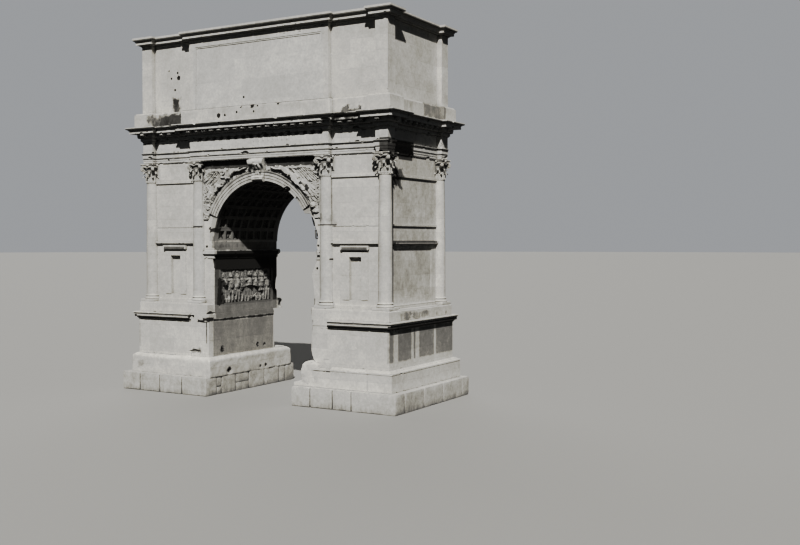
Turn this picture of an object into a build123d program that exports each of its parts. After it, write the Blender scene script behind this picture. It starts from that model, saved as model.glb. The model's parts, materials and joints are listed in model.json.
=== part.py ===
from math import atan2, cos, degrees, pi
import os

from build123d import *

# Single-bay triumphal arch of marble and travertine. Sizes are in millimetres.
# X runs along the front, Y from the front to the back, Z up. The origin is on the ground plane,
# under the middle of the passage.

# Plan
passage_half = 2700
archivolt_width = 450
archivolt_clearance = 115
column_radius = 305
column_spacing = 2930
wall_y = 2360
ressaut_half = 300
recess_step = 60
podium_step = 470
podium_inner_step = 70

inner_column_x = passage_half + archivolt_width + archivolt_clearance + column_radius
outer_column_x = inner_column_x + column_spacing
podium_inner_x = passage_half - podium_inner_step
podium_outer_x = outer_column_x + podium_step
podium_y = wall_y + podium_step

# Heights of the courses, from the ground up
foundation_h = 850
podium_base_h = 880
dado_h = 1620
podium_cornice_h = 340
stylobate_h = 490
column_h = 6530
architrave_h = 500
frieze_h = 500
cornice_bed_h = 260
modillion_h = 150
corona_h = 280
attic_base_h = 660
attic_wall_h = 3140
attic_cornice_h = 430

podium_base_z = foundation_h
dado_z = podium_base_z + podium_base_h
podium_cornice_z = dado_z + dado_h
stylobate_z = podium_cornice_z + podium_cornice_h
column_z = stylobate_z + stylobate_h
architrave_z = column_z + column_h
frieze_z = architrave_z + architrave_h
cornice_z = frieze_z + frieze_h
attic_base_z = cornice_z + cornice_bed_h + modillion_h + corona_h
attic_wall_z = attic_base_z + attic_base_h
attic_cornice_z = attic_wall_z + attic_wall_h

# How far the courses stand out
foundation_step = 620
foundation_front_step = 980
foundation_passage_step = 340
podium_base_step = 265
podium_cornice_step = 220
stylobate_step = 70
architrave_step = 75
frieze_setback = 5
cornice_bed_step = 190
corona_step = 260
corona_cap_step = 140
attic_base_step = 270
attic_cornice_step = 330

# Columns
neck_radius = 262
entasis = 10
neck_bead = 25
column_gap = 2
column_plinth_half = 410
column_plinth_h = 115
torus_h = 75
scotia_h = 60
small_torus_h = 50
base_spread = 55
column_sides = 24

# Composite capitals
capital_h = 880
abacus_h = 120
abacus_half = 430
abacus_hollow = 70
abacus_flower = 130
bell_rim = 300
leaf_width = 150
leaf_curl = 90
volute_radius = 125
volute_width = 130

# Arch and vault
crown_h = 970
lining = 250
archivolt_step = 120
archivolt_left_end = 24
archivolt_right_end = 30
keystone_width = 860
keystone_foot = 560
keystone_step = 430
keystone_drop = 60
coffer_rows = 15
coffers_deep = 8
coffer_side = 400
coffer_depth = 110
coffer_border = 235
spandrel_step = 60
spandrel_rise = 1010

spring_z = architrave_z - crown_h - passage_half
capital_z = architrave_z - capital_h
keystone_z = spring_z + passage_half - keystone_drop
spandrel_foot_z = spring_z + spandrel_rise

# Courses on the piers
impost_drop = 790
impost_h = 400
impost_step = 130
hood_h = 190
hood_step = 130
string_rise = 640
string_h = 70
string_step = 55
neck_string_h = 110
neck_string_step = 60
wall_base_h = 210
wall_base_step = 75

impost_z = spring_z - impost_drop
hood_z = spring_z - hood_h
string_z = spring_z + string_rise

# Blind windows, side panels and passage panels
window_width = 610
window_sill_rise = 380
window_lintel = 230
window_depth = 140
window_frame = 330
window_frame_step = 35
window_head_h = 250
window_head_step = 130
side_panel_half = 1650
side_panel_rise = 480
side_panel_margin = 140
side_panel_depth = 30
relief_half = 1990
relief_drop = 130
relief_margin = 440
relief_depth = 140
relief_rim = 90

window_sill_z = column_z + window_sill_rise
window_head_z = hood_z - window_head_h
side_panel_z = column_z + side_panel_rise
relief_z = column_z - relief_drop

# Cornice brackets and attic panels
modillion_pitch = 455
modillion_width = 190
modillion_step = 200
panel_half = 3450
panel_head = 340
panel_frame = 170
panel_depth = 70
panel_slab = 25
panel_bead = 60

# Broken ends of the podium courses
left_cornice_lost = 990
right_cornice_lost = 1310
right_base_lost = 1530
right_base_stub = 150
worn_radius = 620

overshoot = 10


def block(x0, x1, y0, y1, z0, z1):
    return Pos((x0 + x1) / 2, (y0 + y1) / 2, (z0 + z1) / 2) * Box(x1 - x0, y1 - y0, z1 - z0)


def side_span(side, near, far):
    """Low and high X of a stretch that lies between two distances from the middle."""
    return (near, far) if side > 0 else (-far, -near)


def face_span(face, near, far):
    """Low and high Y of a stretch on the front (-1) or on the back (1)."""
    return (near, far) if face > 0 else (-far, -near)


def polygon_face(points):
    return make_face(Polyline(*points, close=True))


# Mouldings: each member is its kind, its rise and its run outwards.


def shares(height, step, members):
    """Members given as shares of a course's height and of how far it stands out."""
    return [(kind, rise * height, run * step) for kind, rise, run in members]


def member_points(kind, start, end):
    """Corners of one member up to its end, its curve drawn in flats and its outside to the right."""
    bends = {
        "flat": [],
        "torus": [(0.2, 0.4), (0.8, 0.4)],
        "bead": [(0.5, 0.45)],
        "ovolo": [(0.3, 0.17), (0.7, 0.17)],
        "cavetto": [(0.3, -0.17), (0.7, -0.17)],
        "cyma": [(0.3, -0.08), (0.7, 0.08)],
    }
    along = end - start
    outward = Vector(along.Y, -along.X)
    return [start + along * share + outward * bend for share, bend in bends[kind]] + [end]


def moulding(start, members):
    """Corners of a run of members that begins at a point."""
    points = [start]
    for kind, rise, run in members:
        points += member_points(kind, points[-1], points[-1] + Vector(run, rise))
    return points


def section(width, z0, members):
    """Upright section through a course, the same on its left and on its right."""
    right = moulding(Vector(width / 2, z0), members)
    left = [Vector(-point.X, point.Y) for point in reversed(right)]
    return polygon_face(right + left)


def moulded_block(x0, x1, y0, y1, z0, members):
    """Block whose four sides carry one moulding, mitred at the corners."""
    reach = 2 * sum(abs(run) for _, _, run in members) + overshoot
    across = extrude(Plane.XZ * section(x1 - x0, z0, members), (y1 - y0) / 2 + reach, both=True)
    along = extrude(Plane.YZ * section(y1 - y0, z0, members), (x1 - x0) / 2 + reach, both=True)
    return Pos((x0 + x1) / 2, (y0 + y1) / 2, 0) * (across & along)


def broken_course(z0, members):
    """Course that breaks forward over the middle pair of columns and over each corner column."""
    wall_x = outer_column_x + recess_step
    front = wall_y + recess_step
    face_y = wall_y + ressaut_half
    middle_x = inner_column_x + ressaut_half
    half = ressaut_half
    course = moulded_block(-wall_x, wall_x, -front, front, z0, members)
    course += moulded_block(-middle_x, middle_x, -face_y, face_y, z0, members)
    for x in (-outer_column_x, outer_column_x):
        for y in (-wall_y, wall_y):
            course += moulded_block(x - half, x + half, y - half, y + half, z0, members)
    return course


# Ground works and podium


def foundation(side):
    near = passage_half - foundation_passage_step
    x0, x1 = side_span(side, near, podium_outer_x + foundation_step)
    front = wall_y + foundation_front_step
    return block(x0, x1, -front, front, 0, foundation_h)


def podium_course(side, z0, members):
    x0, x1 = side_span(side, podium_inner_x, podium_outer_x)
    return moulded_block(x0, x1, -podium_y, podium_y, z0, members)


def lost_front(side, stretch, step, z0, z1):
    """Room of a front moulding that is broken off for a stretch beside the passage."""
    x0, x1 = side_span(side, 0, passage_half + stretch)
    return block(x0, x1, -podium_y - step - overshoot, -podium_y, z0, z1)


def lost_corner(z0, z1):
    """What the worn front corner of the right podium has lost beside the passage."""
    x = podium_inner_x + worn_radius
    y = worn_radius - podium_y
    corner = block(0, x, y - 2 * worn_radius, y, z0, z1)
    return corner - Pos(x, y, (z0 + z1) / 2) * Cylinder(worn_radius, z1 - z0 + overshoot)


def podium_base(side):
    members = [
        ("flat", 0, 1),
        ("flat", 0.8, 0),
        ("flat", 0, -0.1),
        ("torus", 0.11, 0),
        ("cyma", 0.09, -0.6),
    ]
    base = podium_course(side, podium_base_z, shares(podium_base_h, podium_base_step, members))
    if side < 0:
        return base
    z0 = podium_base_z + right_base_stub
    base -= lost_front(side, right_base_lost, podium_base_step, z0, dado_z)
    return base - lost_corner(z0, dado_z)


def podium_dado(side):
    x0, x1 = side_span(side, podium_inner_x, podium_outer_x)
    dado = block(x0, x1, -podium_y, podium_y, dado_z, podium_cornice_z)
    return dado if side < 0 else dado - lost_corner(dado_z, podium_cornice_z)


def podium_cornice(side):
    members = [
        ("flat", 0, 0.1),
        ("cyma", 0.32, 0.27),
        ("flat", 0, 0.3),
        ("flat", 0.33, 0),
        ("flat", 0, 0.07),
        ("cavetto", 0.23, 0.26),
        ("flat", 0.12, 0),
    ]
    z0, z1 = podium_cornice_z, stylobate_z
    course = podium_course(side, z0, shares(podium_cornice_h, podium_cornice_step, members))
    lost = left_cornice_lost if side < 0 else right_cornice_lost
    x0, x1 = side_span(side, 0, podium_inner_x)
    course -= block(x0, x1, -2 * podium_y, 2 * podium_y, z0, z1)
    course -= lost_front(side, lost, podium_cornice_step, z0, z1)
    return course if side < 0 else course - lost_corner(z0, z1)


def stylobate(side):
    members = [("flat", 0, -0.43), ("flat", 0.88, 0), ("cavetto", 0.12, -0.57)]
    x0, x1 = side_span(side, passage_half, podium_outer_x)
    steps = shares(stylobate_h, stylobate_step, members)
    course = moulded_block(x0, x1, -podium_y, podium_y, stylobate_z, steps)
    x0, x1 = side_span(side, passage_half, inner_column_x)
    course += block(x0, x1, -wall_y, wall_y, stylobate_z, column_z)
    return course - relief_space(side)


# Piers


def core(side):
    x0, x1 = side_span(side, passage_half, outer_column_x)
    return block(x0, x1, -wall_y, wall_y, column_z, architrave_z)


def vault_space(radius):
    barrel = Pos(0, 0, spring_z) * Rot(90, 0, 0) * Cylinder(radius, 4 * wall_y)
    wide = radius + overshoot
    return barrel & block(-wide, wide, -2 * wall_y, 2 * wall_y, spring_z, spring_z + wide)


def window_span(side, margin):
    """Low and high X of a blind window with a margin on either side."""
    middle = side * (inner_column_x + outer_column_x) / 2
    half = window_width / 2 + margin
    return middle - half, middle + half


def window_recess(side, face):
    x0, x1 = window_span(side, 0)
    y0, y1 = face_span(face, wall_y - window_depth, wall_y)
    return block(x0, x1, y0, y1, window_sill_z, window_head_z - window_lintel)


def side_panel(side):
    x0, x1 = side_span(side, outer_column_x - side_panel_depth, outer_column_x)
    top = hood_z - side_panel_margin
    return block(x0, x1, -side_panel_half, side_panel_half, side_panel_z, top)


def relief_space(side, rim=0):
    x0, x1 = side_span(side, passage_half, passage_half + relief_depth)
    half = relief_half - rim
    return block(x0, x1, -half, half, relief_z + rim, impost_z - relief_margin - rim)


def pier(side):
    solid = core(side) - vault_space(passage_half + lining)
    for face in (-1, 1):
        solid -= window_recess(side, face)
    return solid - side_panel(side) - relief_space(side)


def relief_panel(side):
    """Sunk panel of the passage wall with its raised rim."""
    x0, x1 = side_span(side, passage_half, passage_half + relief_depth / 2)
    sunk = block(x0, x1, -relief_half, relief_half, relief_z, impost_z)
    return relief_space(side) - (sunk & relief_space(side, relief_rim))


# Columns


def column_spot(side, place, face):
    x = side * (inner_column_x if place == "inner" else outer_column_x)
    return Pos(x, face * wall_y, column_z)


def column_base_h():
    return column_plinth_h + torus_h + scotia_h + small_torus_h


def shaft_radius(z):
    """Radius of a column's shaft at a height above the stylobate, with its entasis."""
    t = (z - column_base_h()) / (column_h - column_base_h() - capital_h)
    return column_radius + (neck_radius - column_radius) * t + 4 * entasis * t * (1 - t)


def drums(profile):
    """Turned form in many-sided drums, one between each two corners of its profile."""
    stack = []
    for lower, upper in zip(profile, profile[1:]):
        rise = upper.Y - lower.Y
        if rise > 0:
            taper = degrees(atan2((lower.X - upper.X) * cos(pi / column_sides), rise))
            sketch = RegularPolygon(lower.X, column_sides)
            stack.append(Pos(0, 0, lower.Y) * extrude(sketch, rise, taper=taper))
    return stack


def whole_column():
    """Plinth, Attic base, shaft in three tapers and neck bead."""
    foot_z = column_base_h()
    neck_z = column_h - capital_h
    bead_z = neck_z - 2 * neck_bead
    base = [
        ("torus", torus_h, 0),
        ("flat", scotia_h, -small_torus_h / 2),
        ("bead", small_torus_h, 0),
    ]
    profile = moulding(Vector(column_radius + base_spread, column_plinth_h), base)
    for third in range(4):
        z = foot_z + (bead_z - foot_z) * third / 3
        profile.append(Vector(shaft_radius(z), z))
    profile += moulding(Vector(neck_radius, bead_z), [("bead", 2 * neck_bead, 0)])
    half = column_plinth_half
    return block(-half, half, -half, half, 0, column_plinth_h) + drums(profile)


def leaf(height):
    """Blocked-out leaf of a capital, with its tip curled forward."""
    foot, tip = neck_radius + 0.2 * leaf_curl, neck_radius + leaf_curl
    points = [(0, 0), (foot, 0), (foot, 0.7 * height), (tip, 0.86 * height), (foot, height), (0, height)]
    return extrude(Plane.XZ * polygon_face(points), leaf_width / 2, both=True)


def abacus():
    """Slab with hollow sides, cut horns and a flower in the middle of each side."""
    side_y = abacus_half - abacus_hollow
    hollow = [(side_y, -0.2 * abacus_half), (abacus_half, -abacus_half), (2 * abacus_half, 0)]
    hollow += [(abacus_half, abacus_half), (side_y, 0.2 * abacus_half)]
    bite = extrude(polygon_face(hollow), abacus_h)
    slab = Pos(0, 0, abacus_h / 2) * Box(2 * abacus_half, 2 * abacus_half, abacus_h)
    flower = Pos(side_y, 0, abacus_h / 2) * Box(abacus_hollow, abacus_flower, abacus_h)
    for quarter in range(4):
        slab -= Rot(0, 0, 90 * quarter) * bite
    slab &= Rot(0, 0, 45) * Box(2 * horn_reach(), 2 * horn_reach(), 2 * abacus_h)
    for quarter in range(4):
        slab += Rot(0, 0, 90 * quarter) * flower
    return slab


def horn_reach():
    """How far the cut horns of the abacus reach from the column's middle."""
    return 1.32 * abacus_half


def whole_capital():
    """Bell with two rows of leaves, corner volutes and abacus."""
    bell_h = capital_h - abacus_h
    sides = 16
    bell = extrude(RegularPolygon(neck_radius, sides), bell_h)
    bell += Pos(0, 0, bell_h - volute_radius) * extrude(RegularPolygon(bell_rim, sides), volute_radius)
    solid = bell + Pos(0, 0, bell_h) * abacus()
    for eighth in range(8):
        solid += Rot(0, 0, 45 * eighth) * leaf(0.38 * bell_h)
        solid += Rot(0, 0, 45 * eighth + 22.5) * leaf(0.7 * bell_h)
    reach = horn_reach() - volute_radius
    disc = extrude(Plane.XZ * RegularPolygon(volute_radius, 10), volute_width / 2, both=True)
    scroll = Pos(reach, 0, bell_h - volute_radius) * disc
    arm = block(0, reach, -volute_width / 2, volute_width / 2, bell_h - volute_radius, bell_h)
    for quarter in range(4):
        solid += Rot(0, 0, 90 * quarter + 45) * (scroll + arm)
    return Pos(0, 0, column_h - capital_h) * solid


def engaged(shape, side, place):
    """Front and back copies of a column shape, cut off where they enter the pier."""
    wall = core(side)
    pieces = []
    for face in (-1, 1):
        pieces += (column_spot(side, place, face) * shape - wall).solids()
    return Compound(pieces)


def column_clearances(side, z0, z1):
    """What the columns of a pier leave free of a wall course between two heights."""
    tall = z1 - z0 + 2 * overshoot
    if z0 < column_z + column_base_h():
        room = Box(2 * column_plinth_half, 2 * column_plinth_half, tall)
    elif z1 > capital_z - 2 * neck_bead:
        room = Cylinder(neck_radius + neck_bead + column_gap, tall)
    else:
        wide = max(shaft_radius(z0 - column_z), shaft_radius(z1 - column_z))
        room = Cylinder(wide + column_gap, tall)
    return [
        Pos(side * x, face * wall_y, (z0 + z1) / 2) * room
        for x in (inner_column_x, outer_column_x)
        for face in (-1, 1)
    ]


# Courses on the piers


def wall_course(side, z0, height, step, members):
    """Course round the outer sides of a pier, between its columns."""
    x0, x1 = side_span(side, inner_column_x, outer_column_x)
    ring = moulded_block(x0, x1, -wall_y, wall_y, z0, shares(height, step, members)) - core(side)
    x0, x1 = side_span(side, 0, inner_column_x)
    ring -= block(x0, x1, -2 * wall_y, 2 * wall_y, z0, z0 + height)
    return (ring - column_clearances(side, z0, z0 + height)).solids()


def string_courses(side):
    base = [("flat", 0, 1), ("flat", 0.57, 0), ("cavetto", 0.43, -1)]
    hood = [("flat", 0, 0.23), ("cyma", 0.47, 0.46), ("flat", 0, 0.31), ("flat", 0.53, 0)]
    thin = [("flat", 0, 1), ("flat", 1, 0)]
    neck = [("flat", 0, 0.42), ("ovolo", 0.55, 0.58), ("flat", 0.45, 0)]
    pieces = wall_course(side, column_z, wall_base_h, wall_base_step, base)
    pieces += wall_course(side, hood_z, hood_h, hood_step, hood)
    pieces += wall_course(side, string_z, string_h, string_step, thin)
    pieces += wall_course(side, capital_z - neck_string_h, neck_string_h, neck_string_step, neck)
    return Compound(pieces)


def impost(side):
    """Moulding under the springing, round the passage side of a pier."""
    members = [
        ("flat", 0, 0.27),
        ("flat", 0.22, 0),
        ("cyma", 0.28, 0.46),
        ("flat", 0, 0.27),
        ("flat", 0.35, 0),
        ("cavetto", 0.15, -0.15),
    ]
    z1 = impost_z + impost_h
    x0, x1 = side_span(side, passage_half, inner_column_x)
    steps = shares(impost_h, impost_step, members)
    ring = moulded_block(x0, x1, -wall_y, wall_y, impost_z, steps) - core(side)
    x0, x1 = side_span(side, inner_column_x, outer_column_x)
    beyond = block(x0, x1, -2 * wall_y, 2 * wall_y, impost_z, z1)
    return ring - beyond - column_clearances(side, impost_z, z1)


def blind_window(side, face):
    """Shallow surround and projecting head of a blind window, open round its recess."""
    x0, x1 = window_span(side, window_frame)
    y0, y1 = face_span(face, wall_y, wall_y + window_frame_step)
    surround = block(x0, x1, y0, y1, window_sill_z, window_head_z)
    x2, x3 = window_span(side, 0)
    surround -= block(x2, x3, y0, y1, window_sill_z, window_head_z - window_lintel)
    members = [("flat", 0, 0.46), ("cyma", 0.36, 0.54), ("flat", 0.64, 0)]
    steps = shares(window_head_h, window_head_step, members)
    x4, x5 = window_span(side, window_frame - window_head_step / 2)
    head = moulded_block(x4, x5, -wall_y, wall_y, window_head_z, steps)
    behind = face_span(face, -2 * wall_y, wall_y)
    return surround + (head - block(2 * x4 - x5, 2 * x5 - x4, *behind, window_head_z, hood_z))


# Arch


def arch_masonry():
    """Masonry over the vault, between the piers."""
    solid = block(-passage_half, passage_half, -wall_y, wall_y, spring_z, architrave_z)
    return solid - vault_space(passage_half + lining)


def vault_coffers():
    """Lining of the barrel vault with rows of square coffers."""
    wide = passage_half + lining
    shell = vault_space(wide) - vault_space(passage_half)
    shell &= block(-wide, wide, -wall_y, wall_y, spring_z, spring_z + wide)
    pitch_y = 2 * (wall_y - coffer_border) / coffers_deep
    cutter = Pos(passage_half, 0, 0) * Box(2 * coffer_depth, coffer_side, coffer_side)
    cutters = []
    for row in range(coffer_rows):
        angle = 180 * (row + 0.5) / coffer_rows
        for place in range(coffers_deep):
            y = coffer_border - wall_y + pitch_y * (place + 0.5)
            cutters.append(Pos(0, y, spring_z) * Rot(0, -angle, 0) * cutter)
    return shell - cutters


def keystone_wedge():
    foot, head = keystone_foot / 2, keystone_width / 2
    corners = [(-foot, keystone_z), (foot, keystone_z), (head, architrave_z), (-head, architrave_z)]
    return extrude(Plane.XZ * polygon_face(corners), 2 * wall_y, both=True)


def keystone(face):
    """Scrolled console that closes the archivolt."""

    def spot(out, up):
        z = keystone_z + up * (architrave_z - keystone_z)
        return (wall_y + out * keystone_step, z)

    outline = make_face(
        [
            Line(spot(0, 0), spot(0.35, 0)),
            ThreePointArc(spot(0.35, 0), spot(0.62, 0.11), spot(0.42, 0.25)),
            ThreePointArc(spot(0.42, 0.25), spot(0.5, 0.5), spot(0.78, 0.68)),
            ThreePointArc(spot(0.78, 0.68), spot(1, 0.84), spot(0.8, 1)),
            Line(spot(0.8, 1), spot(0, 1)),
            Line(spot(0, 1), spot(0, 0)),
        ]
    )
    console = extrude(Plane.YZ * outline, keystone_width, both=True) & keystone_wedge()
    return console if face > 0 else mirror(console, about=Plane.XZ)


def archivolt(face):
    """Ring of three fasciae round the arch; on the front its two lower ends are lost."""
    profile = [
        (0, 0),
        (0, 0.45),
        (0.27, 0.45),
        (0.27, 0.6),
        (0.55, 0.6),
        (0.55, 0.75),
        (0.8, 0.75),
        (0.95, 1),
        (1, 1),
        (1, 0),
    ]
    points = [(passage_half + r * archivolt_width, t * archivolt_step) for r, t in profile]
    start = archivolt_right_end if face < 0 else 0
    end = archivolt_left_end if face < 0 else 0
    arc = 180 - start - end
    ring = Rot(0, -start, 0) * revolve(polygon_face(points), -Axis.Y, arc)
    ring = Pos(0, wall_y, spring_z) * ring
    if face < 0:
        ring = mirror(ring, about=Plane.XZ)
    return ring - keystone_wedge()


def spandrels(face):
    """Triangular grounds of the carved spandrels, between the archivolt and the inner columns."""
    y0, y1 = face_span(face, wall_y, wall_y + spandrel_step)
    plate = block(-inner_column_x, inner_column_x, y0, y1, spandrel_foot_z, architrave_z)
    ring = Rot(90, 0, 0) * Cylinder(passage_half + archivolt_width, 4 * wall_y)
    plate -= Pos(0, 0, spring_z) * ring
    plate -= keystone_wedge()
    for side in (-1, 1):
        plate -= column_clearances(side, spandrel_foot_z, capital_z - 2 * neck_bead)
        near = inner_column_x - abacus_half - column_gap
        x0, x1 = side_span(side, near, inner_column_x)
        plate -= block(x0, x1, y0, y1, capital_z - 2 * neck_bead, architrave_z)
    return plate


# Entablature


def architrave():
    members = [
        ("flat", 0, -0.27),
        ("flat", 0.26, 0),
        ("flat", 0, 0.2),
        ("flat", 0.26, 0),
        ("flat", 0, 0.2),
        ("flat", 0.26, 0),
        ("cyma", 0.15, 0.6),
        ("flat", 0.07, 0),
    ]
    return broken_course(architrave_z, shares(architrave_h, architrave_step, members))


def frieze():
    return broken_course(frieze_z, [("flat", 0, -frieze_setback), ("flat", frieze_h, 0)])


def modillion():
    """Bracket that hangs from the corona, with a scrolled underside."""
    profile = [(0, 0), (0, 1), (1, 1), (1, 0.4), (0.8, 0.15), (0.55, 0.35), (0.3, 0)]
    points = [(y * modillion_step, z * modillion_h) for y, z in profile]
    return extrude(Plane.YZ * polygon_face(points), modillion_width / 2, both=True)


def modillion_rows():
    """Every row of brackets: its ends along the face, how far out the face is, and its turn."""
    middle = inner_column_x + ressaut_half
    corner_in = outer_column_x - ressaut_half
    corner_out = outer_column_x + ressaut_half
    corner_y = wall_y - ressaut_half
    face_y = wall_y + ressaut_half
    inset = (modillion_pitch + modillion_step) / 2 + ressaut_half / 4
    rows = []
    for turn in (0, 180):
        rows.append((-middle, middle, face_y, turn))
        rows.append((middle + inset, corner_in - inset, wall_y + recess_step, turn))
        rows.append((inset - corner_in, -middle - inset, wall_y + recess_step, turn))
        rows.append((corner_in, corner_out, face_y, turn))
        rows.append((-corner_out, -corner_in, face_y, turn))
    for turn in (90, -90):
        rows.append((corner_y, face_y, corner_out, turn))
        rows.append((-face_y, -corner_y, corner_out, turn))
        rows.append((inset - corner_y, corner_y - inset, outer_column_x + recess_step, turn))
    return rows


def modillions():
    """Brackets at an even pitch along every face of the cornice."""
    bracket = modillion()
    brackets = []
    for start, end, out, turn in modillion_rows():
        count = max(1, round((end - start) / modillion_pitch))
        for place in range(count):
            along = start + (end - start) * (place + 0.5) / count
            spot = Pos(along, out + 0.97 * cornice_bed_step, cornice_z + cornice_bed_h)
            brackets.append(Rot(0, 0, turn) * spot * bracket)
    return brackets


def cornice():
    bed = [
        ("cyma", 0.31, 0.32),
        ("flat", 0, 0.1),
        ("flat", 0.42, 0),
        ("flat", 0, 0.1),
        ("ovolo", 0.27, 0.48),
    ]
    cap = [("flat", 0.46, 0), ("flat", 0, 0.14), ("cyma", 0.4, 0.86), ("flat", 0.14, 0)]
    members = shares(cornice_bed_h, cornice_bed_step, bed)
    members += [("flat", modillion_h, 0), ("flat", 0, corona_step)]
    members += shares(corona_h, corona_cap_step, cap)
    return broken_course(cornice_z, members) + modillions()


# Attic


def attic_base():
    members = [("flat", 0, 1), ("flat", 0.91, 0), ("cavetto", 0.09, -0.22)]
    return broken_course(attic_base_z, shares(attic_base_h, attic_base_step, members))


def panel_space(face, margin, depth):
    """Room over the bare panel, as wide as the margin round it and as deep as asked."""
    front = wall_y + ressaut_half
    y0, y1 = face_span(face, front - depth, front)
    half = panel_half + margin
    top = attic_cornice_z - panel_head + margin
    return block(-half, half, y0, y1, attic_wall_z, top)


def attic_wall():
    solid = broken_course(attic_wall_z, [("flat", attic_wall_h, 0)])
    for face in (-1, 1):
        solid -= panel_space(face, panel_frame, panel_depth)
    return solid


def inscription_panel(face):
    """Bare panel with a stepped frame along its top and sides."""
    slab = panel_space(face, panel_frame, panel_depth)
    slab -= panel_space(face, 0, panel_depth - panel_slab)
    return slab - panel_space(face, panel_bead, panel_depth - 2 * panel_slab)


def attic_cornice():
    members = [
        ("cyma", 0.28, 0.27),
        ("flat", 0, 0.36),
        ("flat", 0.28, 0),
        ("flat", 0, 0.05),
        ("cyma", 0.26, 0.32),
        ("flat", 0.18, 0),
    ]
    return broken_course(attic_cornice_z, shares(attic_cornice_h, attic_cornice_step, members))


def build():
    column, capital = whole_column(), whole_capital()
    nodes = {}
    for side, name in ((-1, "left"), (1, "right")):
        nodes[f"foundation_{name}"] = foundation(side)
        nodes[f"podium_base_{name}"] = podium_base(side)
        nodes[f"podium_dado_{name}"] = podium_dado(side)
        nodes[f"podium_cornice_{name}"] = podium_cornice(side)
        nodes[f"stylobate_{name}"] = stylobate(side)
        nodes[f"pier_{name}"] = pier(side)
        nodes[f"string_courses_{name}"] = string_courses(side)
        nodes[f"impost_{name}"] = impost(side)
        nodes[f"relief_panel_{name}"] = relief_panel(side)
        for place in ("inner", "outer"):
            nodes[f"columns_{place}_{name}"] = engaged(column, side, place)
            nodes[f"capitals_{place}_{name}"] = engaged(capital, side, place)
        for face, end in ((-1, "front"), (1, "back")):
            nodes[f"blind_window_{end}_{name}"] = blind_window(side, face)
    for face, end in ((-1, "front"), (1, "back")):
        nodes[f"keystone_{end}"] = keystone(face)
        nodes[f"archivolt_{end}"] = archivolt(face)
        nodes[f"spandrels_{end}"] = spandrels(face)
        nodes[f"inscription_panel_{end}"] = inscription_panel(face)
    nodes["arch_masonry"] = arch_masonry()
    nodes["vault_coffers"] = vault_coffers()
    nodes["architrave"] = architrave()
    nodes["frieze"] = frieze()
    nodes["cornice"] = cornice()
    nodes["attic_base"] = attic_base()
    nodes["attic_wall"] = attic_wall()
    nodes["attic_cornice"] = attic_cornice()
    return nodes


os.makedirs("parts", exist_ok=True)
for node, shape in build().items():
    export_step(shape, f"parts/{node}.step")
    print(node, len(shape.solids()), round(shape.volume / 1e9, 3))
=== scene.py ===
import json
import math
import random

import bmesh
import bpy
import numpy as np
from mathutils import Matrix, Vector, noise


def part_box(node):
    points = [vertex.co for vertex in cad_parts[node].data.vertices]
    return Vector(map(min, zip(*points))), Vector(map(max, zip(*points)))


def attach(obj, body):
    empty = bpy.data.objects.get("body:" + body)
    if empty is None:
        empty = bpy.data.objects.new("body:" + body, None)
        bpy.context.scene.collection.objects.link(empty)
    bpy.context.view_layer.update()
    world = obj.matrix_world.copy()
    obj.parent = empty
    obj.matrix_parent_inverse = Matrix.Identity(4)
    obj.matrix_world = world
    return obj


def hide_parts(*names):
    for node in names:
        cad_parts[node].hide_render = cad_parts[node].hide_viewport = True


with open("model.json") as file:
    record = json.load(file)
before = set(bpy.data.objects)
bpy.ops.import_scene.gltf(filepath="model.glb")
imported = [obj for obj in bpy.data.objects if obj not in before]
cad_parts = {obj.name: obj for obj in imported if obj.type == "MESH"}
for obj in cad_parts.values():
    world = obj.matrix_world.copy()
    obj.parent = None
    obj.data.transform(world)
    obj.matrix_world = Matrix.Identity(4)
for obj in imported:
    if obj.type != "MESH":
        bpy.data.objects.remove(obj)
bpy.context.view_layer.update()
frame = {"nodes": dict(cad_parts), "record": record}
nodes = frame["nodes"]
scene = bpy.context.scene
noise.seed_set(5)  # the lumps of worn stone come out the same every time
print("frame loaded")

# sizes of the CAD that carving, losses and stains follow
arch = {"spring": 7.04, "half": 2.7, "ring": 3.15, "wall": 2.36}


# Camera, light and floor

view = {
    "place": (27.454, -37.252, 7.05),
    "turn": 30.13,
    "tilt": -1.838,
    "lens": 44.26,
    "sensor": 36,
    "reach": 2000,
}
light = {
    "tone": (1, 0.98, 0.945),
    "suns": {"sun": (4.4, 1.2, 30, 44), "fill": (0.75, 50, 222, 24)},  # strength, softness, turn, height
    "skyTone": (0.9, 0.95, 1),
    "sky": 0.045,  # what fills the shadows from above
    "ground": 0.012,  # and from below
    "horizon": 0.06,  # how far up and down the two blend
    # levels of the picture, and how dark the print shows them
    "print": [(0, 0), (1, 0.66), (0.03, 0.024), (0.12, 0.125), (0.28, 0.355), (0.5, 0.475)],
}


def newObject(name, data):
    made = bpy.data.objects.new(name, data)
    scene.collection.objects.link(made)
    return made


def addCamera():
    data = bpy.data.cameras.new("camera")
    data.lens = view["lens"]
    data.sensor_width = view["sensor"]
    data.clip_end = view["reach"]
    camera = newObject("camera", data)
    camera.location = view["place"]
    camera.rotation_euler = (math.radians(90 + view["tilt"]), 0, math.radians(view["turn"]))
    scene.camera = camera


def addSun(name, energy, softness, turn, height):
    data = bpy.data.lights.new(name, "SUN")
    data.energy = energy
    data.angle = math.radians(softness)
    data.color = light["tone"]
    newObject(name, data).rotation_euler = (math.radians(90 - height), 0, math.radians(turn))


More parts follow.
